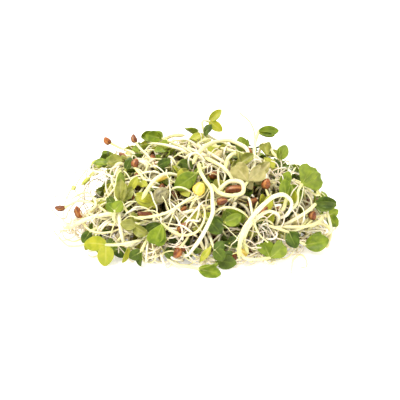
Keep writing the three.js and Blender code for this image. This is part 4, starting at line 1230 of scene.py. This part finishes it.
def add_hairs(skin, line, count, rng):
    """Fine root hairs that stand off a root."""
    points = even(line, 40)
    for _ in range(count):
        k = rng.integers(4, 38)
        along = unit(points[k + 1] - points[k - 1])
        way = unit(np.cross(along, random_direction(rng)))
        tip = points[k] + way * rng.uniform(0.8, 2.0) + along * rng.uniform(-0.5, 0.5)
        middle = (points[k] + tip) / 2 + 0.15 * rng.normal(size=3)
        hair = np.array([points[k], middle, tip])
        hair[:, 2] = np.maximum(hair[:, 2], 0.06)
        add_tube(skin, hair, [0.05, 0.04, 0.02], 3, [0.6, 0.6, 0.6], 0.3, thin=0.3)


def add_root_tangle(skin, centre, reach, count, rng):
    """Fine roots that wind about where the roots of a bunch meet."""
    for _ in range(count):
        start = centre + rng.normal(size=3) * reach * 0.4
        line = [start]
        heading = random_direction(rng)
        for _ in range(rng.integers(8, 16)):
            back = (centre - line[-1]) / reach
            heading = unit(heading + 0.5 * rng.normal(size=3) + 0.35 * back * np.linalg.norm(back))
            line.append(line[-1] + heading * 1.1)
        line = np.array(line)
        radius = rng.uniform(0.13, 0.3)
        line[:, 2] = np.maximum(line[:, 2], radius)
        points = even(line, len(line) * 2)
        shares = np.linspace(0, 1, len(points))
        radii = radius * np.interp(shares, [0, 0.4, 1], [0.8, 1, 0.4])
        add_tube(skin, points, radii, 6, np.linspace(0.8, 1, len(points)), rng.uniform(0, 0.5), thin=1.0)


# Materials
class Recipe:
    """A material's nodes, made one at a time."""

    def __init__(self, name, **shader):
        self.material = bpy.data.materials.new(name)
        self.material.use_nodes = True
        self.tree = self.material.node_tree
        self.shader = self.tree.nodes["Principled BSDF"]
        self.feed(self.shader, shader)

    def feed(self, node, inputs):
        for name, value in inputs.items():
            socket = node.inputs[name.replace("_", " ")] if isinstance(name, str) else node.inputs[name]
            if isinstance(value, bpy.types.NodeSocket):
                self.tree.links.new(value, socket)
            else:
                socket.default_value = value

    def node(self, kind, inputs, **settings):
        made = self.tree.nodes.new("ShaderNode" + kind)
        for name, value in settings.items():
            setattr(made, name, value)
        self.feed(made, inputs)
        return made

    def parts(self, attribute):
        """The three numbers of a mesh attribute."""
        source = self.node("Attribute", {}, attribute_name=attribute)
        return self.node("SeparateXYZ", {0: source.outputs["Vector"]}).outputs

    def math(self, operation, a, b=0.0, clamp=False):
        return self.node("Math", {0: a, 1: b}, operation=operation, use_clamp=clamp).outputs[0]

    def times(self, a, b):
        return self.math("MULTIPLY", a, b)

    def band(self, value, low, high, to_low=0.0, to_high=1.0):
        inputs = {0: value, 1: low, 2: high, 3: to_low, 4: to_high}
        return self.node("MapRange", inputs, interpolation_type="SMOOTHSTEP").outputs[0]

    def mix(self, share, a, b, blend="MIX"):
        a, b = ((*c, 1.0) if isinstance(c, tuple) else c for c in (a, b))
        return self.node("Mix", {0: share, 6: a, 7: b}, data_type="RGBA", blend_type=blend).outputs[2]

    def glow(self, weight, colour, scale):
        """Light that is let through, as by wet plants."""
        inputs = {"Subsurface_Weight": weight, "Subsurface_Radius": colour, "Subsurface_Scale": scale}
        self.feed(self.shader, inputs)

    def gloss(self, coat, coat_roughness, specular):
        inputs = {"Coat_Weight": coat, "Coat_Roughness": coat_roughness, "Specular_IOR_Level": specular}
        self.feed(self.shader, inputs)

    def ramp(self, value, stops):
        made = self.node("ValToRGB", {0: value})
        elements = made.color_ramp.elements
        while len(elements) < len(stops):
            elements.new(0.5)
        for element, (place, colour) in zip(elements, stops):
            element.position, element.color = place, (*colour, 1.0)
        return made.outputs[0]

    def grain(self, scale, detail=2.0, rough=0.5):
        """Noise of about this many grains to a metre, in the object's own space."""
        at = self.node("TexCoord", {}).outputs["Object"]
        inputs = {"Vector": at, "Scale": scale, "Detail": detail, "Roughness": rough}
        return self.node("TexNoise", inputs).outputs[0]

    def depth(self):
        """0 on the heap's surface and 1 well inside it: the mask of the painted shade inside the heap."""
        at = self.node("TexCoord", {}).outputs["Object"]
        scale = tuple(1 / (half * MM) for half in HALF_SIZES)
        level = self.node("VectorMath", {0: at, 1: scale}, operation="MULTIPLY").outputs[0]
        level = self.node("VectorMath", {0: level}, operation="LENGTH").outputs["Value"]
        return self.band(level, 1.03, 0.78)

    def painted_inner_shade(self, colour, share=0.85):
        """A colour, darkened and tinted brown inside the heap as painted shade, where the tangle blocks the
        light.
        """
        # Painted shade: the colour is multiplied by a dark brown, more strongly deeper in the heap.
        dark = self.mix(1.0, colour, (0.22, 0.155, 0.022), "MULTIPLY")
        return self.mix(self.times(self.depth(), share), colour, dark)

    def bump(self, height, strength, distance):
        made = self.node("Bump", {"Height": height, "Strength": strength, "Distance": distance})
        self.feed(self.shader, {"Normal": made.outputs[0]})


# A stem's colours from its leaves to its root, and those of its bud from young to old
STEM_SHADES = (
    (0.0, (0.58, 0.63, 0.13)),
    (0.07, (0.74, 0.76, 0.30)),
    (0.24, (0.90, 0.87, 0.48)),
    (0.5, (0.95, 0.90, 0.68)),
    (0.8, (0.93, 0.84, 0.68)),
    (1.0, (0.77, 0.63, 0.48)),
)
BUD_SHADES = (
    (0.0, (0.42, 0.48, 0.06)),
    (0.5, (0.60, 0.62, 0.16)),
    (0.9, (0.74, 0.72, 0.34)),
    (1.0, (0.66, 0.56, 0.30)),
)


def stem_material():
    """Wet white stems, yellow-green towards the leaves, beige towards the roots."""
    r = Recipe("stem")
    share, rand, run = r.parts("grow")
    bud, _, thin = r.parts("mark")
    coarse, fine = r.grain(260, 3), r.grain(2400, 2)
    shifted = r.math("ADD", share, r.times(r.math("SUBTRACT", coarse, 0.5), 0.25), clamp=True)
    body = r.ramp(shifted, STEM_SHADES)
    tinted = r.mix(r.band(rand, 0.62, 1.0, 0, 0.5), body, (0.70, 0.62, 0.32))
    tinted = r.mix(r.band(rand, 0.3, 0.0, 0, 0.5), tinted, (0.90, 0.83, 0.74))
    pale_root = r.mix(coarse, (0.90, 0.82, 0.70), (0.72, 0.58, 0.42))
    root = r.mix(r.band(rand, 0.35, 0.6), pale_root, (0.45, 0.36, 0.11))
    tinted = r.mix(r.times(thin, 0.85), tinted, root)
    tinted = r.mix(bud, tinted, r.ramp(r.math("ADD", rand, r.times(coarse, 0.3)), BUD_SHADES))
    specks = r.band(fine, 0.66, 0.72, 0, 0.35)
    # The base colour carries painted shade inside the heap.
    r.feed(r.shader, {"Base_Color": r.painted_inner_shade(r.mix(specks, tinted, (0.50, 0.38, 0.22))), "IOR": 1.4})
    r.feed(r.shader, {"Roughness": r.band(coarse, 0.3, 0.7, 0.26, 0.46)})
    r.glow(0.3, (1.0, 0.85, 0.5), 0.0012)
    r.gloss(0.12, 0.12, 0.3)
    streaks = r.grain(1500, 2, 0.6)
    rings = r.times(r.math("SINE", r.times(run, 9.0)), 0.05)
    r.bump(r.math("ADD", streaks, rings), 0.35, 0.00012)
    return r.material


# A leaf's own colour, its dark mottle, and its ribs and underside
LEAF_TONES = {
    "green": ((0.215, 0.29, 0.015), (0.10, 0.16, 0.008), (0.39, 0.46, 0.085)),
    "dark": ((0.085, 0.14, 0.010), (0.032, 0.060, 0.005), (0.22, 0.29, 0.045)),
    "lime": ((0.40, 0.40, 0.026), (0.27, 0.31, 0.015), (0.58, 0.57, 0.14)),
    "olive": ((0.30, 0.31, 0.05), (0.15, 0.17, 0.02), (0.52, 0.51, 0.18)),
    "hull": ((0.44, 0.40, 0.15), (0.25, 0.23, 0.06), (0.64, 0.58, 0.32)),
}


def leaf_material(tone):
    """A seed leaf: pale midrib and veins, a paler underside and mottled, glossy skin."""
    base, deep, pale = LEAF_TONES[tone]
    r = Recipe(tone)
    along, across, rand = r.parts("grow")
    under, _, _ = r.parts("mark")
    coarse, fine = r.grain(420, 3), r.grain(2600, 2)
    skin = r.mix(r.band(coarse, 0.32, 0.68), deep, base)
    skin = r.mix(r.band(rand, 0.3, 1.0, 0, 0.22), skin, pale)
    distance = r.math("ABSOLUTE", across)
    slope = r.math("SUBTRACT", along, r.times(distance, 0.28))
    comb = r.math("ABSOLUTE", r.math("SINE", r.times(slope, 17.0)))
    vein = r.times(r.band(comb, 0.22, 0.0), r.band(distance, 0.95, 0.2))
    midrib = r.times(r.band(distance, 0.16, 0.02), r.band(along, 1.0, 0.6))
    ribs = r.math("MAXIMUM", r.times(vein, 0.18), r.times(midrib, 0.32), clamp=True)
    skin = r.mix(ribs, skin, pale)
    skin = r.mix(r.band(distance, 0.93, 1.0, 0, 0.35), skin, pale)
    skin = r.mix(r.times(under, 0.25), skin, pale)
    skin = r.mix(r.band(along, 0.16, 0.0, 0, 0.6), skin, (0.45, 0.48, 0.14))
    # The base colour carries painted shade inside the heap.
    r.feed(r.shader, {"Base_Color": r.painted_inner_shade(skin, 0.78), "IOR": 1.42})
    r.feed(r.shader, {"Roughness": r.band(fine, 0.3, 0.7, 0.30, 0.50)})
    r.glow(0.15, (0.5, 0.8, 0.2), 0.0008)
    r.gloss(0.08, 0.2, 0.3)
    r.bump(r.math("SUBTRACT", r.times(fine, 0.5), ribs), 0.3, 0.00012)
    return r.material


def husk_material(name, light, dark, edge, matt, specks):
    """A seed coat: mottled, paler or darker along its split."""
    r = Recipe(name)
    along, rand, split = r.parts("grow")
    coarse, fine = r.grain(600, 3, 0.6), r.grain(specks[0], 2)
    skin = r.mix(r.band(coarse, 0.35, 0.65), dark, light)
    skin = r.mix(r.band(rand, 0.2, 1.0, 0, 0.8), skin, dark)
    skin = r.mix(r.times(r.band(fine, 0.56, 0.66), specks[1]), skin, edge)
    skin = r.mix(r.times(split, 0.8), skin, edge)
    skin = r.mix(r.band(along, 0.85, 1.0, 0, 0.5), skin, edge)
    # The base colour carries painted shade inside the heap.
    r.feed(r.shader, {"Base_Color": r.painted_inner_shade(skin, 0.6)})
    r.feed(r.shader, {"Roughness": r.band(coarse, 0.3, 0.7, matt - 0.1, matt + 0.12)})
    r.glow(0.1, (1.0, 0.5, 0.2), 0.001)
    r.gloss(0.15, 0.15, 0.35)
    r.bump(r.math("ADD", fine, coarse), 0.4, 0.00015)
    return r.material


def floor_material():
    """A smooth white surface with the faintest mottle."""
    r = Recipe("floor_white", Emission_Color=(1.0, 0.99, 0.985, 1.0), Emission_Strength=0.42)
    mottle = r.mix(r.grain(30, 2), (0.93, 0.92, 0.915), (0.95, 0.945, 0.94))
    r.feed(r.shader, {"Base_Color": mottle, "Roughness": 0.6})
    return r.material


# Each kind of seed: its light and dark mottle, its split, its roughness, and its specks' scale and strength
HUSKS = {
    "coat": ((0.36, 0.10, 0.016), (0.10, 0.022, 0.007), (0.52, 0.23, 0.05), 0.4, (3000, 0.4)),
    "kernel": ((0.86, 0.66, 0.10), (0.70, 0.50, 0.06), (0.92, 0.80, 0.30), 0.35, (3000, 0.4)),
    "lentil": ((0.42, 0.39, 0.20), (0.25, 0.23, 0.10), (0.05, 0.045, 0.02), 0.45, (1500, 0.85)),
    "bean": ((0.66, 0.60, 0.34), (0.46, 0.40, 0.18), (0.38, 0.26, 0.11), 0.4, (3000, 0.4)),
}


def materials():
    """The paint of every tone."""
    made = {"stem": stem_material()}
    for tone in LEAF_TONES:
        made[tone] = leaf_material(tone)
    for husk, look in HUSKS.items():
        made[husk] = husk_material(husk, *look)
    return made


# The scene.
SLOT_OF = {"lentil": "olive", "bean": "olive", "hull": "olive"}
STEM_SEED, LEAF_SEED, COAT_SEED, LOOSE_SEED = 500, 700, 900, 1200
TANGLE_ROOTS, TANGLE_REACH, FOOT_REACH = 26, 3.0, 4.5
HAIRS = 16  # on each third loose root


def place(piece, slot, *nodes):
    """Lets a piece ride on the heap, and stand for the frame's solids that it follows."""
    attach(piece, "root")
    SLOT_OF.get(slot, slot)
    if nodes:
        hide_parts(*nodes)


def build_frame_sprouts(made, mats, paints):
    """One piece for each solid of the frame."""
    for k, centre in enumerate(mats):
        skin = Skin()
        rng = np.random.default_rng(STEM_SEED + k)
        for sprout in made:
            if sprout["mat"] == k:
                add_stem(skin, sprout, rng)
        add_root_tangle(skin, np.array(centre), TANGLE_REACH if k else FOOT_REACH, TANGLE_ROOTS, rng)
        place(skin.build(f"stems_{k + 1:02d}", paints["stem"]), "stem", f"stem_bunch_{k + 1:02d}")
    pairs = [sprout for sprout in made if sprout["head"] == "pair"]
    for k, sprout in enumerate(pairs):
        skin = Skin()
        add_pair(skin, sprout, np.random.default_rng(LEAF_SEED + k))
        tone = "hull" if (sprout["tone"], sprout["shape"]) == ("olive", "heart") else sprout["tone"]
        place(skin.build(f"leaves_{k + 1:02d}", paints[tone]), tone, f"leaf_pair_{k + 1:02d}")
    coats = [sprout for sprout in made if sprout["head"] == "coat"]
    for k, sprout in enumerate(coats):
        skin = Skin()
        add_coat(skin, sprout, np.random.default_rng(COAT_SEED + k))
        name, node = f"coat_{k + 1:02d}", f"seed_coat_{k + 1:02d}"
        if sprout["tone"] == "kernel":
            name, node = "kernel", "yellow_kernel"
        place(skin.build(name, paints[sprout["tone"]]), sprout["tone"], node)


def build_fillers(loose, paints):
    """The loose sprouts, joined by what they are made of."""
    stems, roots, hairs, tops = Skin(), Skin(), Skin(), {}
    rng = np.random.default_rng(LOOSE_SEED)
    for k, sprout in enumerate(loose):
        add_stem(roots if sprout["head"] == "root" else stems, sprout, rng)
        if sprout["head"] == "root" and k % 3 == 0:
            add_hairs(hairs, sprout["points"], HAIRS, rng)
        if sprout["head"] == "pair":
            add_pair(tops.setdefault(sprout["tone"], Skin()), sprout, rng)
        if sprout["head"] == "coat":
            add_coat(tops.setdefault(sprout["tone"], Skin()), sprout, rng)
    place(stems.build("loose_stems", paints["stem"]), "stem")
    place(roots.build("loose_roots", paints["stem"]), "stem")
    place(hairs.build("root_hairs", paints["stem"]), "stem")
    for tone, skin in tops.items():
        place(skin.build("loose_" + tone, paints[tone]), tone)


def build_floor():
    """A wide floor just below the heap."""
    mesh = bpy.data.meshes.new("floor")
    mesh.from_pydata([(-3, -3, 0), (3, -3, 0), (3, 3, 0), (-3, 3, 0)], [], [(0, 1, 2, 3)])
    mesh.materials.append(floor_material())
    floor = bpy.data.objects.new("floor", mesh)
    floor.location.z = -0.0002
    bpy.context.scene.collection.objects.link(floor)


def facing(direction):
    """The turn that points a camera's or a light's own -Z along a direction."""
    return Vector(direction).to_track_quat("-Z", "Y").to_euler()


def add_light(name, place_at, size, watts, colour):
    """A square lamp that shines at the heap."""
    light = bpy.data.lights.new(name, "AREA")
    light.size, light.energy, light.color = size, watts, colour
    lamp = bpy.data.objects.new(name, light)
    lamp.location = place_at
    lamp.rotation_euler = facing(-Vector(place_at))
    bpy.context.scene.collection.objects.link(lamp)


def build_studio():
    """Soft light from all round, a little stronger from above on the left."""
    add_light("key", (-0.45, -0.3, 0.9), 0.5, 12.0, (1.0, 0.95, 0.88))
    add_light("fill", (0.7, -0.6, 0.5), 0.9, 3.5, (0.97, 0.98, 1.0))
    add_light("back", (0.1, 0.8, 0.7), 0.8, 4.5, (1.0, 1.0, 1.0))
    world = bpy.data.worlds.new("studio")
    world.use_nodes = True
    sky = world.node_tree.nodes["Background"].inputs
    sky["Color"].default_value = (1.0, 0.952, 0.90, 1.0)
    sky["Strength"].default_value = 0.75
    bpy.context.scene.world = world


def grade():
    """Plain photographic contrast, so that white stays white."""
    view = bpy.context.scene.view_settings
    view.view_transform, view.look, view.exposure, view.gamma = "Standard", "None", 0.0, 1.0


FRAMING = (1.4, 10.3)  # how far right of the heap's foot and above it the camera looks


def add_camera():
    """A long lens at the photograph's viewing angle."""
    data = bpy.data.cameras.new("camera")
    data.lens, data.sensor_width, data.clip_start = 135, 36, 0.01
    camera = bpy.data.objects.new("camera", data)
    camera.location = (NEAR * EYE_DISTANCE + RIGHT * FRAMING[0] + UP * FRAMING[1]) * MM
    camera.rotation_euler = facing(-NEAR)
    bpy.context.scene.collection.objects.link(camera)
    bpy.context.scene.camera = camera


add_camera()
grade()
build_studio()
build_floor()
paints = materials()
made, mats = lay_out()
loose = fillers()
cup_leaves([*made, *loose])
clear_fillers(made, loose)
loose = without_strays(made, loose)
build_frame_sprouts(made, mats, paints)
build_fillers(loose, paints)
bpy.context.view_layer.update()
